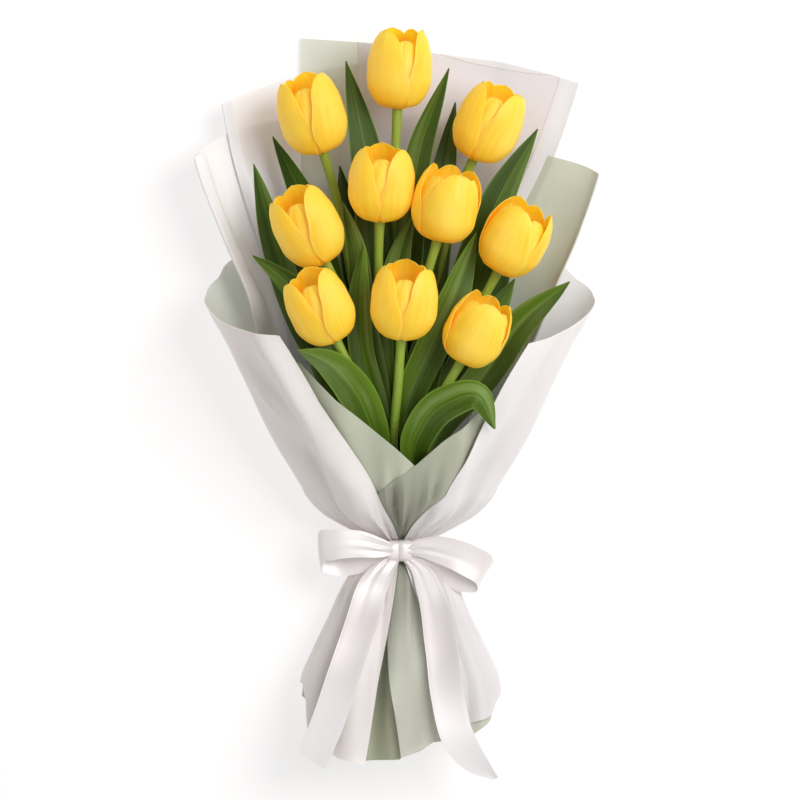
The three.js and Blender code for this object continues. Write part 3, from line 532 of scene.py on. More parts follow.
# The wrap's half width and half thickness, its flare and its pleats, by height over the tie in mm.
HALF_WIDTH = profile([
    (-165, 74), (-135, 73.5), (-100, 70.5), (-77, 61), (-55, 50.5), (-20, 33), (-8, 18.2),
    (0, 17.6), (8, 18.2), (16, 30.5), (31, 56), (44, 67.5), (65, 75.5), (83, 82), (115, 93.5),
    (135, 98), (155, 101.5), (172, 105), (188, 108.5), (233, 127), (295, 150), (335, 159),
    (390, 167),
])
HALF_DEPTH = profile([
    (-165, 34), (-135, 33), (-100, 31), (-55, 25), (-20, 17), (-8, 11.8), (0, 11.4), (8, 11.8),
    (16, 17), (31, 26), (44, 33), (65, 40), (83, 46), (115, 53), (155, 60), (188, 63), (233, 64),
    (295, 62), (335, 60), (390, 58),
])
SIDE_FLARE = profile([(50, 0), (83, 8), (115, 12), (155, 23), (188, 34), (240, 40)])
FRONT_FLARE = profile([(50, 0), (115, 2), (155, 5), (188, 8), (240, 10)])
LIFT = profile([(-45, 0), (-14, WAIST_LIFT), (14, WAIST_LIFT), (45, 0)])
PLEAT_DEPTH = profile([
    (-160, 3.2), (-100, 3.2), (-50, 2.2), (-16, 0.9), (0, 0.3), (16, 0.9), (44, 2.2), (83, 1.8),
    (130, 0.5), (160, 0), (390, 0),
])


def ground(h):
    return LAYERS_UNDER * PAPER_PITCH + PAPER + LIFT(h)


def off_back(turn):
    """Nothing on the flat back, which lies on the table, and one everywhere else."""
    return smooth(22, 50, np.abs(turn))


def pleat(turn, h):
    """Wide pleats that fan out from the ribbon."""
    wave = np.cos(12 * turn * RAD) * (0.75 + 0.25 * np.cos(5 * turn * RAD + 1))
    calm = 1 - 0.75 * bell(np.abs(turn), 97, 24)
    return off_back(turn) * PLEAT_DEPTH(h) * wave * calm


def relief(turn, h):
    """Gathers, handling waves and creases, which all layers share."""
    front = smooth(95, 130, np.abs(turn))
    gathers = (
        np.cos(23 * turn * RAD + 0.8) * (0.6 + 0.4 * np.cos(7 * turn * RAD))
        + 0.5 * np.cos(37 * turn * RAD + 2.1)
    ) * 1.15 * bell(np.abs(h), 27, 22)
    handled = (
        0.45 * np.sin(0.061 * turn + 0.043 * h + 1.1)
        + 0.35 * np.sin(0.098 * turn - 0.037 * h + 2.3)
        + 0.25 * np.sin(0.15 * turn + 0.071 * h + 0.4)
    ) * smooth(15, 60, np.abs(h)) * (1 - 0.7 * bell(np.abs(turn), 90, 25))
    return off_back(turn) * (gathers * (0.4 + 0.6 * front) + handled + creases(turn, h))


CREASES = [
    # (turn, height) points of a soft fold in a front sheet, its height and half width in mm
    ([(-112, 124), (-124, 104), (-140, 74), (-140, 32)], 4, 8),
    ([(-112, 150), (-128, 95), (-150, 40)], -1.3, 7),
    ([(150, 100), (146, 60), (150, 25)], 2.4, 6),
    ([(118, 150), (128, 90), (138, 45)], -2, 8),
]
# The wrap's mean radius in mm, and how high its middle stands over its underside in half depths.
MEAN_RADIUS = 80
MIDDLE = 0.9


def creases(turn, h):
    """Soft long folds that the front flaps show."""
    total = 0 * turn
    for points, height, width in CREASES:
        turns, heights = np.array(sorted(points, key=lambda p: p[1]), float).T
        off = (turn - np.interp(h, heights, turns)) * RAD * MEAN_RADIUS
        fade = smooth(heights[0] - 12, heights[0] + 10, h)
        fade = fade * (1 - smooth(heights[-1] - 10, heights[-1] + 12, h))
        total = total + height * fade * bell(off, 0, width)
    return total


def wrap_base(turn, h, flare):
    """The innermost paper surface at a turn and a height, spread by the flare."""
    side = flare * smooth(25, 75, np.abs(turn))
    w = HALF_WIDTH(h) + side * SIDE_FLARE(h)
    d = HALF_DEPTH(h) + side * FRONT_FLARE(h)
    middle = ground(h) + MIDDLE * HALF_DEPTH(h)
    sin, cos = np.sin(turn * RAD), np.cos(turn * RAD)
    out = unit(np.stack([sin / w, 0 * w, -cos / d], -1))
    p = np.stack([w * sin, h, middle - d * cos], -1)
    return p + out * pleat(turn, h)[:, None]


def wrap_point(turn, h, flare, distance, form):
    """The same surface moved out by a distance, and never below its own layer on the table."""
    around = wrap_base(turn + 1, h, flare) - wrap_base(turn - 1, h, flare)
    along = wrap_base(turn, h + 1, flare) - wrap_base(turn, h - 1, flare)
    out = unit(np.cross(around, along))
    away = np.stack([np.sin(turn * RAD), 0 * turn, -np.cos(turn * RAD)], -1)
    out = out * np.where((out * away).sum(-1) < 0, -1, 1)[:, None]
    p = wrap_base(turn, h, flare) + out * (distance + relief(turn, h) + form)[:, None]
    p[:, 2] = np.maximum(p[:, 2], ground(h) - distance)
    return p


# Edges are one number all along, or straight lines through points: (height, turn) for left and
# right, and (turn, height) for top and bottom. Turns are in degrees and heights in mm.
SHEET_FIELDS = ("layer", "flare", "outside", "inside", "left", "right", "top", "bottom")
SHEETS = {
    "back_white": (
        0, 0, LIT_WHITE, SHADED_WHITE,
        [(-110, -14), (300, -12), (382, -11)],
        [(-110, 30), (200, 41), (241, 44), (299, 50.5), (355, 56)],
        [(-11, 388), (9, 379.5), (27.5, 373), (56, 355)], -100,
    ),
    "back_sage": (
        1, 0, PALE_SAGE, PALE_SAGE,
        [(-110, -36), (200, -36), (274, -30.7), (391, -27)], 0,
        [(-27, 391), (-11, 388), (6, 385)], -66,
    ),
    "left_white": (
        2, 0, WHITE, LIT_WHITE,
        [(-110, -57), (158, -56), (335, -57.5)], 0,
        [(-57.5, 338), (-27, 364), (0, 377)], -100,
    ),
    "left_outer": (
        3, 0.06, WHITE, LIT_WHITE,
        [(-150, -84), (167, -84), (233, -86), (295, -84)], 15,
        [(-84, 295), (-55, 317), (-20, 338), (18, 326)],
        [(-84, -112), (-45, -132), (15, -140)],
    ),
    "right_sage": (
        1, 0.12, PALE_SAGE, DEEP_SAGE, 15,
        [(-130, 53), (-105, 57), (-92, 66), (154, 72), (188, 82), (240, 83), (284, 79)],
        [(14, 316), (49.5, 299), (79, 284)], -132,
    ),
    "front_left_liner": (
        1, 0, LOW_SHADED_SAGE, LOW_SHADED_SAGE,
        [(-157, -196), (0, -194), (50, -198), (65, -198)], -105,
        [(-198, 56), (-188, 65), (-150, 113), (-133, 140), (-105, 158)],
        [(-198, -140), (-184, -149), (-180, -155.5), (-160, -157), (-130, -148), (-105, -120)],
    ),
    "front_right_liner": (
        2, 0, SAGE, SAGE, 105,
        [(-155, 179.5), (-120, 182.5), (-89, 186), (-60, 190), (0, 196), (42, 198), (60, 198)],
        [(105, 136), (139.5, 106), (172, 65), (196, 42), (200, 38)],
        [(105, -112), (118, -128), (130, -138), (160, -143), (168, -149), (182, -155)],
    ),
    "front_right": (
        4, 1, WHITE, PEARL, 45,
        [(-130, 136), (-113, 141), (-60, 150), (-12, 175), (11, 174), (44, 151), (113, 139),
         (155, 132)],
        [(45, 232), (50, 226), (57, 217), (63, 207), (78, 194), (90, 187), (112, 169), (132, 156),
         (140, 152)],
        [(45, -103), (60, -103), (95, -110), (110, -117), (124, -127), (136, -131)],
    ),
    "front_left": (
        4, 1, WARM, PALE_SAGE,
        [(-162, -158), (-87, -169), (-12, -178), (10, -178), (43, -166), (113, -146),
         (162, -137)], -45,
        [(-140, 160), (-137, 162), (-118, 168), (-104, 175), (-91, 187), (-78, 195), (-65, 208),
         (-61, 217), (-50, 231), (-45, 236)],
        [(-158, -160), (-135, -151), (-118, -139), (-113, -114), (-98, -102), (-60, -98),
         (-45, -98)],
    ),
}

for name, row in SHEETS.items():
    SHEETS[name] = sheet = dict(zip(SHEET_FIELDS, row))
    for side in SHEET_FIELDS[4:]:
        points = sheet[side]
        sheet[side] = steps(points) if isinstance(points, list) else always(points)

# The fine grid that the sheets are cut from, in degrees and mm, and when a point lies on a cut.
TURNS = np.arange(-210, 212, 2.0)
HEIGHTS = np.concatenate([
    np.arange(-165, -40, 5), np.arange(-40, 60, 2.5), np.arange(60, 396, 5),
])
TOUCH = 1e-6
HALVINGS = 22


def clip(polygon, inside):
    """Cuts a flat polygon by the line where inside is zero."""
    kept = []
    for a, b in zip(polygon, polygon[1:] + polygon[:1]):
        fa, fb = inside(*a), inside(*b)
        if fa > -TOUCH:
            kept.append(a)
        if (fa > TOUCH and fb < -TOUCH) or (fa < -TOUCH and fb > TOUCH):
            kept.append(crossing(a, b, inside))
    return kept if len(kept) > 2 else None


def crossing(a, b, inside):
    low, high = (b, a) if b < a else (a, b)
    sign = 1 if inside(*low) > 0 else -1
    for _ in range(HALVINGS):
        middle = ((low[0] + high[0]) / 2, (low[1] + high[1]) / 2)
        if inside(*middle) * sign > 0:
            low = middle
        else:
            high = middle
    return low


def outline_mesh(left, right, top, bottom):
    """The polygons of a flat outline, cut from the fine grid, with shared corners."""
    tests = [
        lambda turn, h: turn - left(h),
        lambda turn, h: right(h) - turn,
        lambda turn, h: top(turn) - h,
        lambda turn, h: h - bottom(turn),
    ]
    grid_h, grid_t = np.meshgrid(HEIGHTS, TURNS, indexing="ij")
    values = [test(grid_t, grid_h) for test in tests]
    found, faces = {}, []

    def corner(p):
        return found.setdefault((round(p[0], 2), round(p[1], 2)), (len(found), p))[0]

    for j, (low, high) in enumerate(zip(HEIGHTS, HEIGHTS[1:])):
        for i, (near, far) in enumerate(zip(TURNS, TURNS[1:])):
            cell = [v[j : j + 2, i : i + 2] for v in values]
            if any(c.max() <= TOUCH for c in cell):
                continue
            polygon = [(near, low), (far, low), (far, high), (near, high)]
            for test, c in zip(tests, cell):
                if polygon and c.min() < 0:
                    polygon = clip(polygon, test)
            if not polygon:
                continue
            ids = [corner(p) for p in polygon]
            ids = [a for a, b in zip(ids, ids[1:] + ids[:1]) if a != b]
            if len(ids) > 2 and len(set(ids)) == len(ids):
                faces.append(ids)
    return np.array([p for _, p in found.values()]), faces


def from_edge(name, side, turn, h):
    """The distance in mm along the paper from one side edge of a sheet."""
    return np.abs(turn - SHEETS[name][side](h)) * RAD * HALF_WIDTH(h)


def opened(h):
    """Nothing where a back sheet is held by the bunch, and one where it opens out above it."""
    return smooth(120, 190, h)


# Which side of a front sheet is rolled and how high the roll is in mm, above the tie and below it.
FRONT_EDGES = {"front_left": ("left", 7), "front_right": ("right", 2.2)}
LOW_ROLL = 1.2
# How far a back sheet's side edge bends back from the blooms: side, depth and width in mm.
EDGE_CURLS = {
    "back_white": ("right", 3.5, 13),
    "right_sage": ("right", 0.8, 9),
}


def own_form(name, turn, h):
    """Folds that one sheet has to itself: rolled edges, gathers under the knot, a lifted flap."""
    form = 0 * turn
    if name in FRONT_EDGES:
        side, height = FRONT_EDGES[name]
        away = from_edge(name, side, turn, h)
        roll = np.where(h > 0, height, LOW_ROLL) * bell(away, 17, 10) - bell(away, 0, 5)
        form += roll * smooth(14, 34, np.abs(h)) * smooth(175, 150, h)
    if name in EDGE_CURLS:
        side, height, width = EDGE_CURLS[name]
        form += height * bell(from_edge(name, side, turn, h), 0, width) * opened(h)
    if name == "left_white":
        form -= 2 * bell(from_edge(name, "left", turn, h), 13, 8) * opened(h)
    if "liner" in name:
        around = np.where(turn < 0, turn + 360, turn)
        clear = smooth(0, 9, around - SHEETS["front_right"]["right"](h))
        clear = clear * smooth(0, 9, SHEETS["front_left"]["left"](h) + 360 - around)
        fans = np.cos((around - 177) * 27 * RAD) + 0.6 * np.cos((around - 170) * 41 * RAD)
        form += 3.4 * clear * fans * bell(h, 30, 24) - 3 * clear * bell(h, 12, 14)
        soft = np.cos((around - 181) * 13 * RAD + 0.02 * h)
        form += 2 * clear * soft * smooth(30, 70, -h)
        form += 2.6 * clear * bell(around, 176 + 0.03 * h, 4.5) * bell(h, -62, 40)
    if name == "front_left_liner":
        form -= 6 * bell(around, 194, 9) * smooth(50, 100, -h)
        form -= 2 * smooth(188, 180, around) * smooth(30, 60, -h)
    if name == "front_right_liner":
        form += 7 * bell(turn, 188, 9) * smooth(86, 125, -h)
    return form


# What a sheet without a front edge has as its distance from one, and the width of a rolled border.
NO_EDGE = 99
ROLL_WIDTH = 34


def add_paper(build, name, outline, inner, outer, inner_look=1, roll=0):
    """A flat outline given its form and thickness between two distances from the base surface."""
    corners, faces = outline_mesh(**outline)
    turn, h = corners.T
    form = own_form(name, turn, h)
    if roll:
        arch = np.sin(np.pi * np.clip(from_edge(name, "left", turn, h) / ROLL_WIDTH, 0, 1))
        form -= roll * arch * opened(h)
    flare = SHEETS[name]["flare"]
    skins = [wrap_point(turn, h, flare, distance, form) for distance in (inner, outer)]
    count = len(corners)
    edges = set()
    for face in faces:
        edges.update(zip(face, face[1:] + face[:1]))
    rim = [[b, a, a + count, b + count] for a, b in edges if (b, a) not in edges]
    back = [[i + count for i in face[::-1]] for face in faces]
    looks = [inner_look] * len(faces) + [0] * (len(back) + len(rim))
    away = NO_EDGE + 0 * turn
    if name in FRONT_EDGES:
        away = from_edge(name, FRONT_EDGES[name][0], turn, h)
    place = np.concatenate([np.stack([turn, h, away], -1)] * 2)
    build.add(np.concatenate(skins), [*faces, *back, *rim], looks, place)


def fold_strip(outline, side, width):
    """The outline of a border folded over onto the sheet's inner face.

    A side that is a number is the middle of a crescent along the top edge."""
    strip = dict(outline)
    edge = outline["top" if isinstance(side, int) else side]
    if side == "right":
        strip["left"] = lambda h: edge(h) - width / (HALF_WIDTH(h) * RAD)
    elif side == "left":
        strip["right"] = lambda h: edge(h) + width / (HALF_WIDTH(h) * RAD)
    else:
        strip["bottom"] = lambda turn: edge(turn) - width * (1 - ((turn - side) / CRESCENT) ** 2)
    return strip


# The crescent's half width in degrees.
CRESCENT = 17
# Folded borders: side, width in mm, and look. They lie between two depths inside their sheet.
FOLDS = {
    "back_white": [("right", 22, 0), (28, 5, 0)],
    "right_sage": [("right", 11, 0)],
    "left_outer": [("left", 25, 1)],
    "left_white": [("left", 12, 1)],
}
FOLD_DEEP, FOLD_SHALLOW = 0.55, 0.1
# The border that doesn't lie flat: how high it rolls and where it ends, in mm.
ROLLED = {"left_outer": (5.5, 297)}


def make_sheet(name):
    sheet = SHEETS[name]
    outline = {side: sheet[side] for side in SHEET_FIELDS[4:]}
    inner = sheet["layer"] * PAPER_PITCH
    build = Build()
    add_paper(build, name, outline, inner, inner + PAPER)
    roll, end = ROLLED.get(name, (0, None))
    for side, width, look in FOLDS.get(name, []):
        border = fold_strip(outline, side, width)
        if end:
            border["top"] = always(end)
        add_paper(build, name, border, inner - FOLD_DEEP, inner - FOLD_SHALLOW, look, roll)
    looks = [sheet["outside"], sheet["inside"]]
    return build.piece("paper_wrap_" + name, looks, ["wrap_" + name], sharp=50)


# Blooms

# The stem's place in the bundle in pitches, the foot in mm, the tilt in the photo and the lean
# towards it in degrees, two scales, the roll, which petal edge lies over, and how open it is.
HEAD_FIELDS = ("tie", "foot", "tilt", "lean", "wide", "tall", "roll", "lap", "open")
HEADS = [dict(zip(HEAD_FIELDS, row)) for row in [
    ((0, -1), (-2, 334, 44), 2, 10, 1, 1, 20, 1, 0),
    ((-1, -1), (-58, 300.5, 49), -16, 14, 1.02, 1, -8, -1, 0),
    ((1, -1), (55.5, 295.5, 49), 23, 14, 1, 0.99, -5, 1, 0),
    ((-0.5, 0), (-15, 247.5, 74), 2, 16, 1, 0.94, 0, 1, 0),
    ((0.5, 0), (28, 233, 80), 15, 15, 1, 0.92, 75, 1, 0.5),
    ((-1.5, 0), (-56, 216.5, 78), -26, 16, 1, 1, -8, -1, 0.2),
    ((1.5, 0), (73.5, 210, 75), 27, 17, 0.98, 0.92, 40, 1, 0.2),
    ((-1, 1), (-47.5, 158, 97), -25, 16, 0.96, 0.93, -6, -1, 0.1),
    ((0, 1), (1, 159.5, 98), 4, 17, 1, 0.94, 0, 1, 0.1),
    ((1, 1), (45.5, 142.5, 95), 28, 15, 0.94, 0.87, 65, 1, 0),
]]
for head in HEADS:
    head["foot"] = np.array(head["foot"], float)
# The ninth stem passes beside the eighth.
HEADS[8]["via"] = (-5, 78)


def head_axes(head):
    tilt, lean = head["tilt"] * RAD, head["lean"] * RAD
    flat = math.cos(lean)
    axis = np.array([math.sin(tilt) * flat, math.cos(tilt) * flat, math.sin(lean)])
    front = unit(UP - axis * axis[2])
    return axis, front, np.cross(axis, front)


TEPAL_OUT = profile([
    (0, 0.17), (0.1, 0.54), (0.24, 0.82), (0.44, 0.985), (0.64, 0.98), (0.82, 0.88), (1, 0.72),
])
TEPAL_UP = profile([
    (0, 0), (0.1, 0.035), (0.24, 0.15), (0.44, 0.36), (0.64, 0.59), (0.82, 0.79), (1, 0.985),
])
OUTER_HALF = profile([
    (0, 3.4), (0.1, 11.5), (0.25, 20.5), (0.38, 25), (0.46, 25), (0.55, 23.2), (0.65, 21),
    (0.74, 18.8), (0.82, 16.4), (0.89, 13.3), (0.94, 10.2), (0.97, 7.6), (0.99, 4.6), (1, 0.8),
])
INNER_HALF = profile([
    (0, 3), (0.1, 8.8), (0.25, 14.7), (0.44, 17.6), (0.55, 17.2), (0.7, 15.3), (0.8, 13.2),
    (0.88, 10.8), (0.94, 8), (0.97, 6), (0.99, 3.8), (1, 0.7),
])
PETALS = 6
PETAL_GRID = (21, 27)
PETAL_SEED, LEAF_SEED = 40, 80
# A head's receptacle, in mm: how far it starts below the foot, its length and its first radius.
CUP_LOW, CUP_LONG, CUP_RADIUS = 0.6, 3.4, 4.2


def seen_place(s, t, number):
    """What a petal's or leaf's material reads: the way across, the way along and its number."""
    return np.stack(np.broadcast_arrays(s, t, float(number)), -1)


def tepal_points(head, axes, turn, number, random):
    inner = number % 2 == 1
    cols, rows = PETAL_GRID
    s = np.linspace(-1, 1, cols)[None, :]
    t = (1 - (1 - np.linspace(0, 1, rows)) ** 1.5)[:, None]
    spread = 1 + head["open"] * 0.12 * smooth(0.4, 1, t)
    reach = HEAD_RADIUS * head["wide"] * TEPAL_OUT(t) * spread
    if inner:
        reach = reach - 1.7 - 1.1 * smooth(0, 0.3, t)
    half = head["wide"] * (INNER_HALF(t) if inner else OUTER_HALF(t))
    rounding = np.maximum(reach * (0.98 if inner else 0.97), 3)
    angle = s * half / rounding
    # inner petals at the front stand a little lower
    tall = 0.935 - 0.065 * math.cos(turn) if inner else 1
    height = HEAD_HEIGHT * head["tall"] * TEPAL_UP(t) * tall * random.uniform(0.985, 1.01)
    height = height - (0 if inner else 0.6 * s * s)
    # a shallow rib up the middle, a soft ripple near the edges and a lip that turns out
    phase = random.uniform(0, 6.3)
    rise = smooth(0.1, 0.5, t)
    form = 0.5 * bell(s, 0, 0.4) * rise - 0.45 * bell(s, 0, 0.1) * rise
    form = form + 0.45 * s * s * np.sin(9 * t + phase + 1.5 * s) * rise
    form = form - 0.9 * smooth(0.86, 1, t)
    if inner:
        form = form + 0.35 * np.cos(3 * np.pi * s) * smooth(0.55, 0.9, t)
    else:
        # one edge of an outer petal lies over its neighbour and the other under
        form = form + 0.72 * head["lap"] * s * smooth(0.08, 0.25, t)
    away = reach - rounding + (rounding + form) * np.cos(angle)
    aside = (rounding + form) * np.sin(angle)
    axis, front, right = axes
    towards = away * math.cos(turn) - aside * math.sin(turn)
    rightwards = away * math.sin(turn) + aside * math.cos(turn)
    points = head["foot"] + height[..., None] * axis
    points = points + towards[..., None] * front + rightwards[..., None] * right
    thickness = TEPAL_THICK - 0.7 * smooth(0.55, 1, np.abs(s)) * smooth(0.05, 0.3, t)
    thickness = np.minimum(thickness, TEPAL_THICK - 0.7 * smooth(0.85, 1, t))
    return points, thickness, seen_place(s, t, number)


def make_bloom(index):
    head = HEADS[index]
    axes, foot = head_axes(head), head["foot"]
    random = np.random.default_rng(PETAL_SEED + index)
    build = Build()
    for number in range(PETALS):
        turn = (head["roll"] + 360 // PETALS * (number + 1)) * RAD
        petal = tepal_points(head, axes, turn, number, random)
        build.add_shell(*petal, index, middle=foot + axes[0] * HEAD_HEIGHT / 2)
    t = np.linspace(0, 1, 5)
    centres = foot + axes[0] * (CUP_LONG * t - CUP_LOW)[:, None]
    points, faces = tube(centres, CUP_RADIUS + 3.2 * np.sin(t * 1.4), 20)
    build.add(points, faces, 0, np.zeros((points.size // 3, 3)), index)
    name = "%02d" % (index + 1)
    return build.piece("tulip_head_" + name, [PETAL_OUT, PETAL_IN], ["bloom_" + name])


# Stems and leaves

ROW_PITCH = STEM_PITCH * math.cos(30 * RAD)
BUNDLE_Z = ground(0) + STEM_RADIUS + ROW_PITCH + SEAT
# The length in mm over which a stem runs straight into its head.
STRAIGHT = 34


def stem_line(head):
    """The middle line of a stem, by t from 0 at its cut end, and the height of its other end."""
    x = head["tie"][0] * STEM_PITCH
    row = head["tie"][1] + 1
    z = BUNDLE_Z + head["tie"][1] * ROW_PITCH
    foot, axis = head["foot"], head_axes(head)[0]
    end = foot - axis * (CUP_LOW + SEAT)
    before = end - axis * STRAIGHT
    # below the tie the bundle comes down with the paper, and its rows spread
    low = z - WAIST_LIFT + 0.6 + 2 * row
    spread = 0.85 * 30 / before[1]
    points = [
        (x * 1.7, CUT_END, low),
        (x * 1.2, -48, low + 0.8),
        (x, -12, z + 0.3 + 0.5 * row),
        (x, 0, z),
        (x + spread * (before[0] - x), 30, z + spread * (before[2] - z)),
    ]
    if "via" in head:
        via_x, via_y = head["via"]
        points.append((via_x, via_y, z + 1.06 * via_y * (foot[2] - z) / foot[1]))
    points += [before, end]
    sideways = profile([(p[1], p[0]) for p in points])
    upwards = profile([(p[1], p[2]) for p in points])

    def line(t):
        y = CUT_END + np.asarray(t) * (end[1] - CUT_END)
        return np.stack([sideways(y), y, upwards(y)], -1)

    return line, end[1]


FRONT_Z = profile([
    (0, 27), (20, 40), (44, 57), (83, 79), (115, 95), (155, 109), (190, 117), (235, 118),
    (300, 105), (390, 85),
])


def depth(h, share):
    """A share of the way from the back of the wrap to the front of the blooms."""
    back = ground(h) + 2
    return back + share * (FRONT_Z(h) - back)


LEAVES = [
    # stem, height it grows from, half width, roll, fold, (x, height, share of the depth) points
    (1, 52, 14.5, -14, 3, [(-6, 120, 0.24), (-17, 210, 0.28), (-26, 300, 0.32), (-41, 370, 0.36)]),
    (1, 62, 12, 18, 3, [(3, 130, 0.33), (7, 220, 0.36), (15, 300, 0.4), (37, 364, 0.42)]),
    (2, 48, 13, 10, 2.5, [(-30, 120, 0.22), (-54, 200, 0.26), (-72, 262, 0.28), (-96.5, 313, 0.3)]),
    (2, 58, 12, 0, 2, [(-17, 130, 0.06), (-32, 210, 0.08), (-46, 292, 0.1)]),
    (3, 58, 12, 5, 2.5, [(16, 130, 0.2), (25, 210, 0.24), (33, 285, 0.28), (42, 339, 0.3)]),
    (3, 46, 15, -8, 3, [(26.5, 120, 0.25), (48, 190, 0.34), (74, 265, 0.36), (104, 318, 0.38)]),
    (4, 50, 12, 12, 3, [(-4, 120, 0.5), (-5, 190, 0.52), (0, 222, 0.53), (11, 254, 0.54)]),
    (4, 60, 10, 25, 3, [(-15, 120, 0.6), (-26, 180, 0.6), (-32, 225, 0.54), (-43, 262, 0.5)]),
    (5, 52, 14, 0, 3, [(12, 110, 0.55), (22, 155, 0.57), (31, 190, 0.58)]),
    (5, 62, 13, -20, 3, [(7, 115, 0.68), (24, 155, 0.66), (40, 190, 0.62), (57, 238, 0.6)]),
    (6, 66, 12, 25, 3, [
        (-40, 115, 0.42), (-72, 170, 0.42), (-92, 225, 0.4), (-110.5, 291.5, 0.38),
    ]),
    (6, 76, 10.5, 10, 2.5, [
        (-40, 128, 0.58), (-62, 172, 0.6), (-85, 202, 0.62), (-110, 221, 0.62),
    ]),
    (7, 52, 12, 0, 2.5, [(32, 110, 0.5), (56, 155, 0.5), (72, 180, 0.5), (86, 204, 0.5)]),
    (8, 46, 14, -10, 3, [(-21, 90, 0.9), (-34, 120, 0.935), (-54, 141, 0.99), (-75, 150, 1)]),
    (8, 40, 12, 0, 2.5, [(-30, 90, 0.62), (-45, 118, 0.64), (-68, 144, 0.66)]),
    (9, 56, 9.5, 10, 3, [(-17, 112, 0.72), (-28, 150, 0.7), (-30, 190, 0.66), (-27, 230, 0.64)]),
    (10, 50, 13, 10, 3, [(34, 95, 0.62), (62, 130, 0.6), (90, 170, 0.62), (126, 201, 0.7)]),
    (10, 42, 13.5, 15, 3, [(13, 84, 1), (32, 109, 1.08), (56, 116, 1.15), (70, 92, 1.2)]),
    (7, 60, 13, 0, 2.5, [(44, 120, 0.14), (64, 180, 0.16), (86, 240, 0.18)]),
    (6, 50, 13, 0, 2.5, [(-38, 110, 0.34), (-58, 165, 0.34), (-80, 225, 0.34)]),
]
LEAF_SHAPE = profile([
    (0, 0.3), (0.12, 0.4), (0.4, 0.9), (0.6, 1), (0.78, 0.84), (0.92, 0.42), (1, 0.03),
])
LEAF_GRID = (13, 45)
STEM_SIDES, STEM_RINGS = 18, 70


def leaf_points(leaf, number, stem, end_y, random):
    _, grows_from, half_width, roll, fold, to = leaf
    share = (grows_from - CUT_END) / (end_y - CUT_END)
    line = track([stem(share), *[(x, h, float(depth(h, q))) for x, h, q in to]])
    cols, rows = LEAF_GRID
    s = np.linspace(-1, 1, cols)[None, :]
    t = np.linspace(0, 1, rows)
    centre = line(t)
    ahead = unit(line(np.minimum(t + 2e-3, 1)) - line(np.maximum(t - 2e-3, 0)))
    side = unit(np.cross(ahead, UP))
    face = np.cross(side, ahead)
    t = t[:, None]
    turn = roll * RAD * smooth(0.1, 0.6, t)
    half = half_width * LEAF_SHAPE(t)
    across = side * np.cos(turn) + face * np.sin(turn)
    out = face * np.cos(turn) - side * np.sin(turn)
    # a trough along the midrib, and margins that ripple
    deep = 1.35 * fold * np.sin(np.pi * np.minimum(t + 0.1, 1)) * np.minimum(half / 6, 1)
    cup = (np.sqrt(s * s + 0.006) - 0.0775) / 0.926 * deep
    phase = random.uniform(0, 6.3)
    cup = cup + 0.7 * s * s * np.sin(11 * t + phase + 1.2 * np.sign(s)) * smooth(0.2, 0.5, t)
    shift = half * s
    points = centre[:, None] + across[:, None] * shift[..., None] + out[:, None] * cup[..., None]
    thickness = LEAF_THICK - 0.5 * smooth(0.4, 1, np.abs(s)) + 0 * t
    return points, thickness, seen_place(s, t, number)


def make_stem(index):
    line, end_y = stem_line(HEADS[index])
    random = np.random.default_rng(LEAF_SEED + index)
    build = Build()
    t = np.linspace(0, 1, STEM_RINGS)
    swell = 1 + 0.12 * smooth(0.97, 1, t)
    points, faces = tube(line(t), STEM_RADIUS * swell, STEM_SIDES)
    place = seen_place(np.arange(STEM_SIDES) / STEM_SIDES, t[:, None], index)
    build.add(points, faces, 1, place)
    for number, leaf in enumerate(LEAVES):
        if leaf[0] == index + 1:
            share = sum(q for _, _, q in leaf[5]) / len(leaf[5])
            # how near the front a leaf lies, which sets its painted shade
            nearness = np.clip((share - 0.15) / 0.6, 0, 1)
            build.add_shell(*leaf_points(leaf, number, line, end_y, random), nearness)
    name = "%02d" % (index + 1)
    return build.piece("leafy_stem_" + name, [LEAF, STEM], ["stem_" + name])


# Ribbon

OUTERMOST = 4 * PAPER_PITCH + PAPER
BAND_FLOOR = WAIST_LIFT - 0.6
BAND_GAP = OUTERMOST + 1.3
BAND_FRONT = float(ground(0) + (1 + MIDDLE) * HALF_DEPTH(0) + BAND_GAP + RIBBON_THICK)
KNOT_Z = BAND_FRONT + SEAT
BOW_Z = KNOT_Z + 4
# The band is gathered to this half width; its edge is this wide and this much thinner.
BAND_HALF, BAND_EDGE, EDGE_DROP = 6, 0.5, 0.25
BAND_RADIUS = 24


def make_band():
    build = Build()
    turns = np.linspace(0, 2 * math.pi, 121)[:-1]
    middle = float(ground(0) + MIDDLE * HALF_DEPTH(0))
    ys = np.linspace(-BAND_HALF, BAND_HALF, 15)
    rings = [(y, 0) for y in ys]
    for y in ys[::-1]:
        out = RIBBON_THICK + 0.22 * math.cos(y * 1.9 + 0.5)
        rings.append((y, out - (EDGE_DROP if abs(y) > BAND_HALF - BAND_EDGE else 0)))
    rows = []
    for y, out in rings:
        w = HALF_WIDTH(0) + BAND_GAP + out
        d = HALF_DEPTH(0) + BAND_GAP + out
        z = np.maximum(middle - d * np.cos(turns), BAND_FLOOR - out)
        rows.append(np.stack([w * np.sin(turns), 0 * turns + y, z], -1))
    points = np.array(rows)
    count = points.size // 3
    faces = grid_faces(len(rows) + 1, len(turns), wrap=True)
    faces = [[i % count for i in face] for face in faces]
    build.add(points, faces, 0, seen_place(points[..., 1], turns * BAND_RADIUS, 0))
    return build.piece("satin_band", [SATIN], ["ribbon_band"])


def loop(points):
    """Points of a loop from x, y, height over the bow's base, half width and angle."""
    return [(x, y, BOW_Z + z, half, turn) for x, y, z, half, turn in points]


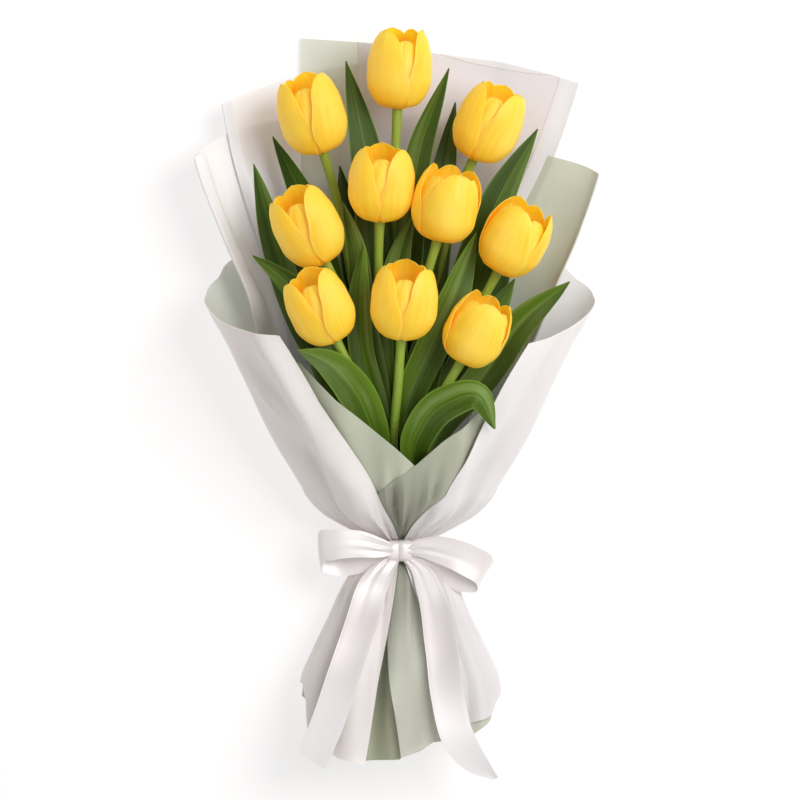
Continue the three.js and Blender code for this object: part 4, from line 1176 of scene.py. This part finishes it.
LEFT_LOOP = loop([
    (-5, 0, 2.5, 4, 88), (-14, 1.5, 5, 7, 86), (-30, 4.5, 8, 10, 86), (-50, 4, 8, 11.5, 90),
    (-60.5, 2, 3, 12.2, 92), (-61, -2.5, -1.5, 12.4, 92), (-50, -7.5, -4, 12, 92),
    (-30, -8.5, -2.5, 9.5, 96), (-14, -5, -1, 6.5, 94), (-5, -1.5, -1.5, 4, 90),
])
RIGHT_LOOP = loop([
    (5, 0, 2.5, 4, 92), (15, 1.5, 5, 7, 88), (32, -0.5, 8, 10.5, 80), (52, -8, 8.5, 12, 66),
    (64, -16, 3.5, 12.3, 63), (64, -20.5, -1, 12.3, 63), (51, -21, -2.5, 12, 66),
    (32, -14, 0.5, 9.5, 72), (14.5, -6, 1, 6.5, 82), (5, -2.5, -1.5, 4, 90),
])


def skirt_front(x, h):
    """How high the front of the skirt lies at a point, without its relief."""
    across = math.sqrt(max(1 - (x / (HALF_WIDTH(h) + OUTERMOST)) ** 2, 0))
    return float(ground(h) + MIDDLE * HALF_DEPTH(h) + (HALF_DEPTH(h) + OUTERMOST) * across)


def tail(points):
    """Points of a tail from x, y, half width, angle and how far it lies over the skirt."""
    return [(x, h, skirt_front(x, h) + over, half, turn) for x, h, half, turn, over in points]


LEFT_TAIL = tail([
    (-3, -4, 4.5, -4, 5.5), (-11, -12, 8, -10, 6.5), (-20, -26, 11, -16, 7),
    (-28, -52, 12.3, -20, 7), (-43.5, -97, 12.4, -22, 8.5), (-53, -125, 12.4, -24, 9),
    (-66, -157, 12, -32, 9),
])
RIGHT_TAIL = tail([
    (3, -4, 4.5, 4, 5.5), (14, -13, 7, 6, 6.5), (23, -32, 10, 8, 7), (31, -72, 12.2, 3, 7),
    (35.5, -108, 12.4, 6, 9), (43, -138, 12.4, 14, 9.5), (56, -158, 9.5, 26, 7),
    (72, -171, 2, 40, 8),
])
STRIP_COLUMNS = 21
# How far the gathers run from the knot, in mm.
GATHER = 17


def add_strip(build, points, part, rows, lip, both_ends=False):
    """A strip of satin along the points of the bow, gathered where it meets the knot."""
    pts = np.array(points, float)
    line = track(pts[:, :3])
    gaps = np.linalg.norm(np.diff(pts[:, :3], axis=0), axis=1)
    lengths = np.concatenate([[0], np.cumsum(gaps)])
    whole = lengths[-1]
    half = profile(list(zip(lengths / whole, pts[:, 3])))
    angle = profile(list(zip(lengths / whole, pts[:, 4])))
    s = np.linspace(-1, 1, STRIP_COLUMNS)[None, :]
    t = np.linspace(0, 1, rows)
    turn = angle(t) * RAD
    across = np.stack([np.cos(turn), np.sin(turn), 0 * turn], -1)
    centre = line(t)[:, None]
    normal = unit(np.cross(across, unit(np.gradient(line(t), axis=0))))
    t = t[:, None]
    near = bell(t * whole, 0, GATHER) + 0.35 * bell(t * whole, 0, 2 * GATHER)
    if both_ends:
        near = near + bell((1 - t) * whole, 0, GATHER)
    gather = near * (0.8 * np.cos(s * 7.3 + 0.6 * part) + 0.35 * np.cos(s * 12.1 + part))
    bow = -lip * (s * s - 0.35) * smooth(0.08, 0.3, t)
    wave = 0.9 * np.sin(t * whole / 14 + 1.9 * part + 0.8 * s) * smooth(0.15, 0.4, t)
    form = gather + bow + wave
    shift = half(t) * s
    grid = centre + across[:, None] * shift[..., None] + normal[:, None] * form[..., None]
    thickness = RIBBON_THICK - 0.35 * smooth(0.8, 1, np.abs(s)) + 0 * t
    build.add_shell(grid, thickness, seen_place(shift, t * whole, part * PART_STEP))


def add_wrapped_turn(build, centre, half_width, tall, thick, lean):
    """One turn of ribbon over the knot: an arch with two rounded edges."""
    across = np.linspace(-1, 1, 19)
    arch = np.linspace(0, np.pi, 25)
    edge = (1 - np.abs(across) ** 3.2) ** 0.42
    sin, cos = np.sin(arch), np.cos(arch)
    up = np.abs(sin) ** 0.62
    along = np.sign(cos) * np.abs(cos) ** 0.72
    rows = []
    for s, e in zip(across, edge):
        groove = 0.16 * math.cos(6 * s + 1.1)
        x = centre + half_width * s + lean * along + 0 * arch
        y = -1 + along * tall * (0.9 + 0.1 * e)
        z = KNOT_Z + up * (thick * (0.55 + 0.45 * e) + groove * e)
        rows.append(np.stack([x, y, z], -1))
    points = np.array(rows)
    place = seen_place(points[..., 0] * 1.2, arch * 9, 50 + centre)
    build.add(points, barrel_faces(len(rows), len(arch), flip=True), 0, place)


def make_bow():
    build = Build()
    add_wrapped_turn(build, -4.9, 4.7, 7.9, 7.6, 0.3)
    add_wrapped_turn(build, 3.9, 5.4, 8.3, 8.3, -0.4)
    add_strip(build, LEFT_LOOP, 1, 90, 0.9, both_ends=True)
    add_strip(build, RIGHT_LOOP, 2, 90, 0.9, both_ends=True)
    add_strip(build, LEFT_TAIL, 3, 80, 0.8)
    add_strip(build, RIGHT_TAIL, 4, 90, 0.8)
    return build.piece("satin_bow", [SATIN], ["ribbon_bow"])


# Making everything

for number in range(10):
    make_bloom(number)
    make_stem(number)
for sheet_name in SHEETS:
    make_sheet(sheet_name)
make_band()
make_bow()

# Floor, light and camera

# The middle of the picture. Then, in metres: the floor, the point that the lights aim at, from the
# tie, and the camera's height.
CENTRE = np.array([0, 113.25, 0]) * MM + TIE
FLOOR_HALF, FLOOR_DROP = 4, 0.0005
AIM = Vector((0, 0.11, 0.05))
EYE_HEIGHT = 2.46
LENS, SENSOR, CLIP_END = 144, 36, 20
WORLD_STRENGTH = 0.52


def floor():
    mesh = bpy.data.meshes.new("floor")
    signs = [(-1, -1), (1, -1), (1, 1), (-1, 1)]
    corners = [(CENTRE[0] + x * FLOOR_HALF, CENTRE[1] + y * FLOOR_HALF, 0) for x, y in signs]
    mesh.from_pydata(corners, [], [(0, 1, 2, 3)])
    g = Graph("white floor")
    g.colour = g.mix(g.noise(g.where(), 3, 2), (0.45, 0.435, 0.43), (0.47, 0.455, 0.45))
    mesh.materials.append(g.finish(
        Roughness=0.9, Specular_IOR_Level=0.1, Emission_Color=(1, 1, 1), Emission_Strength=0.6,
    ))
    obj = bpy.data.objects.new("floor", mesh)
    bpy.context.scene.collection.objects.link(obj)
    obj.location.z = -FLOOR_DROP


def area_light(name, place, size, power):
    data = bpy.data.lights.new(name, "AREA")
    data.shape = "SQUARE"
    data.size = size
    data.energy = power
    obj = bpy.data.objects.new(name, data)
    bpy.context.scene.collection.objects.link(obj)
    obj.location = Vector(place) + Vector(TIE)
    obj.rotation_mode = "QUATERNION"
    obj.rotation_quaternion = (AIM - Vector(place)).to_track_quat("-Z", "Y")


floor()
area_light("key", (0.95, 0.65, 1.5), 1.1, 23)
area_light("front", (0.1, -1, 1.8), 1, 2)

world = bpy.data.worlds.new("soft studio")
bpy.context.scene.world = world
world.use_nodes = True
background = world.node_tree.nodes["Background"].inputs
background["Color"].default_value = (1, 1, 1, 1)
background["Strength"].default_value = WORLD_STRENGTH
bpy.context.scene.view_settings.view_transform = "Standard"

camera = bpy.data.cameras.new("camera")
camera.lens, camera.sensor_width, camera.clip_end = LENS, SENSOR, CLIP_END
eye = bpy.data.objects.new("camera", camera)
bpy.context.scene.collection.objects.link(eye)
eye.location = (CENTRE[0], CENTRE[1], EYE_HEIGHT)
bpy.context.scene.camera = eye
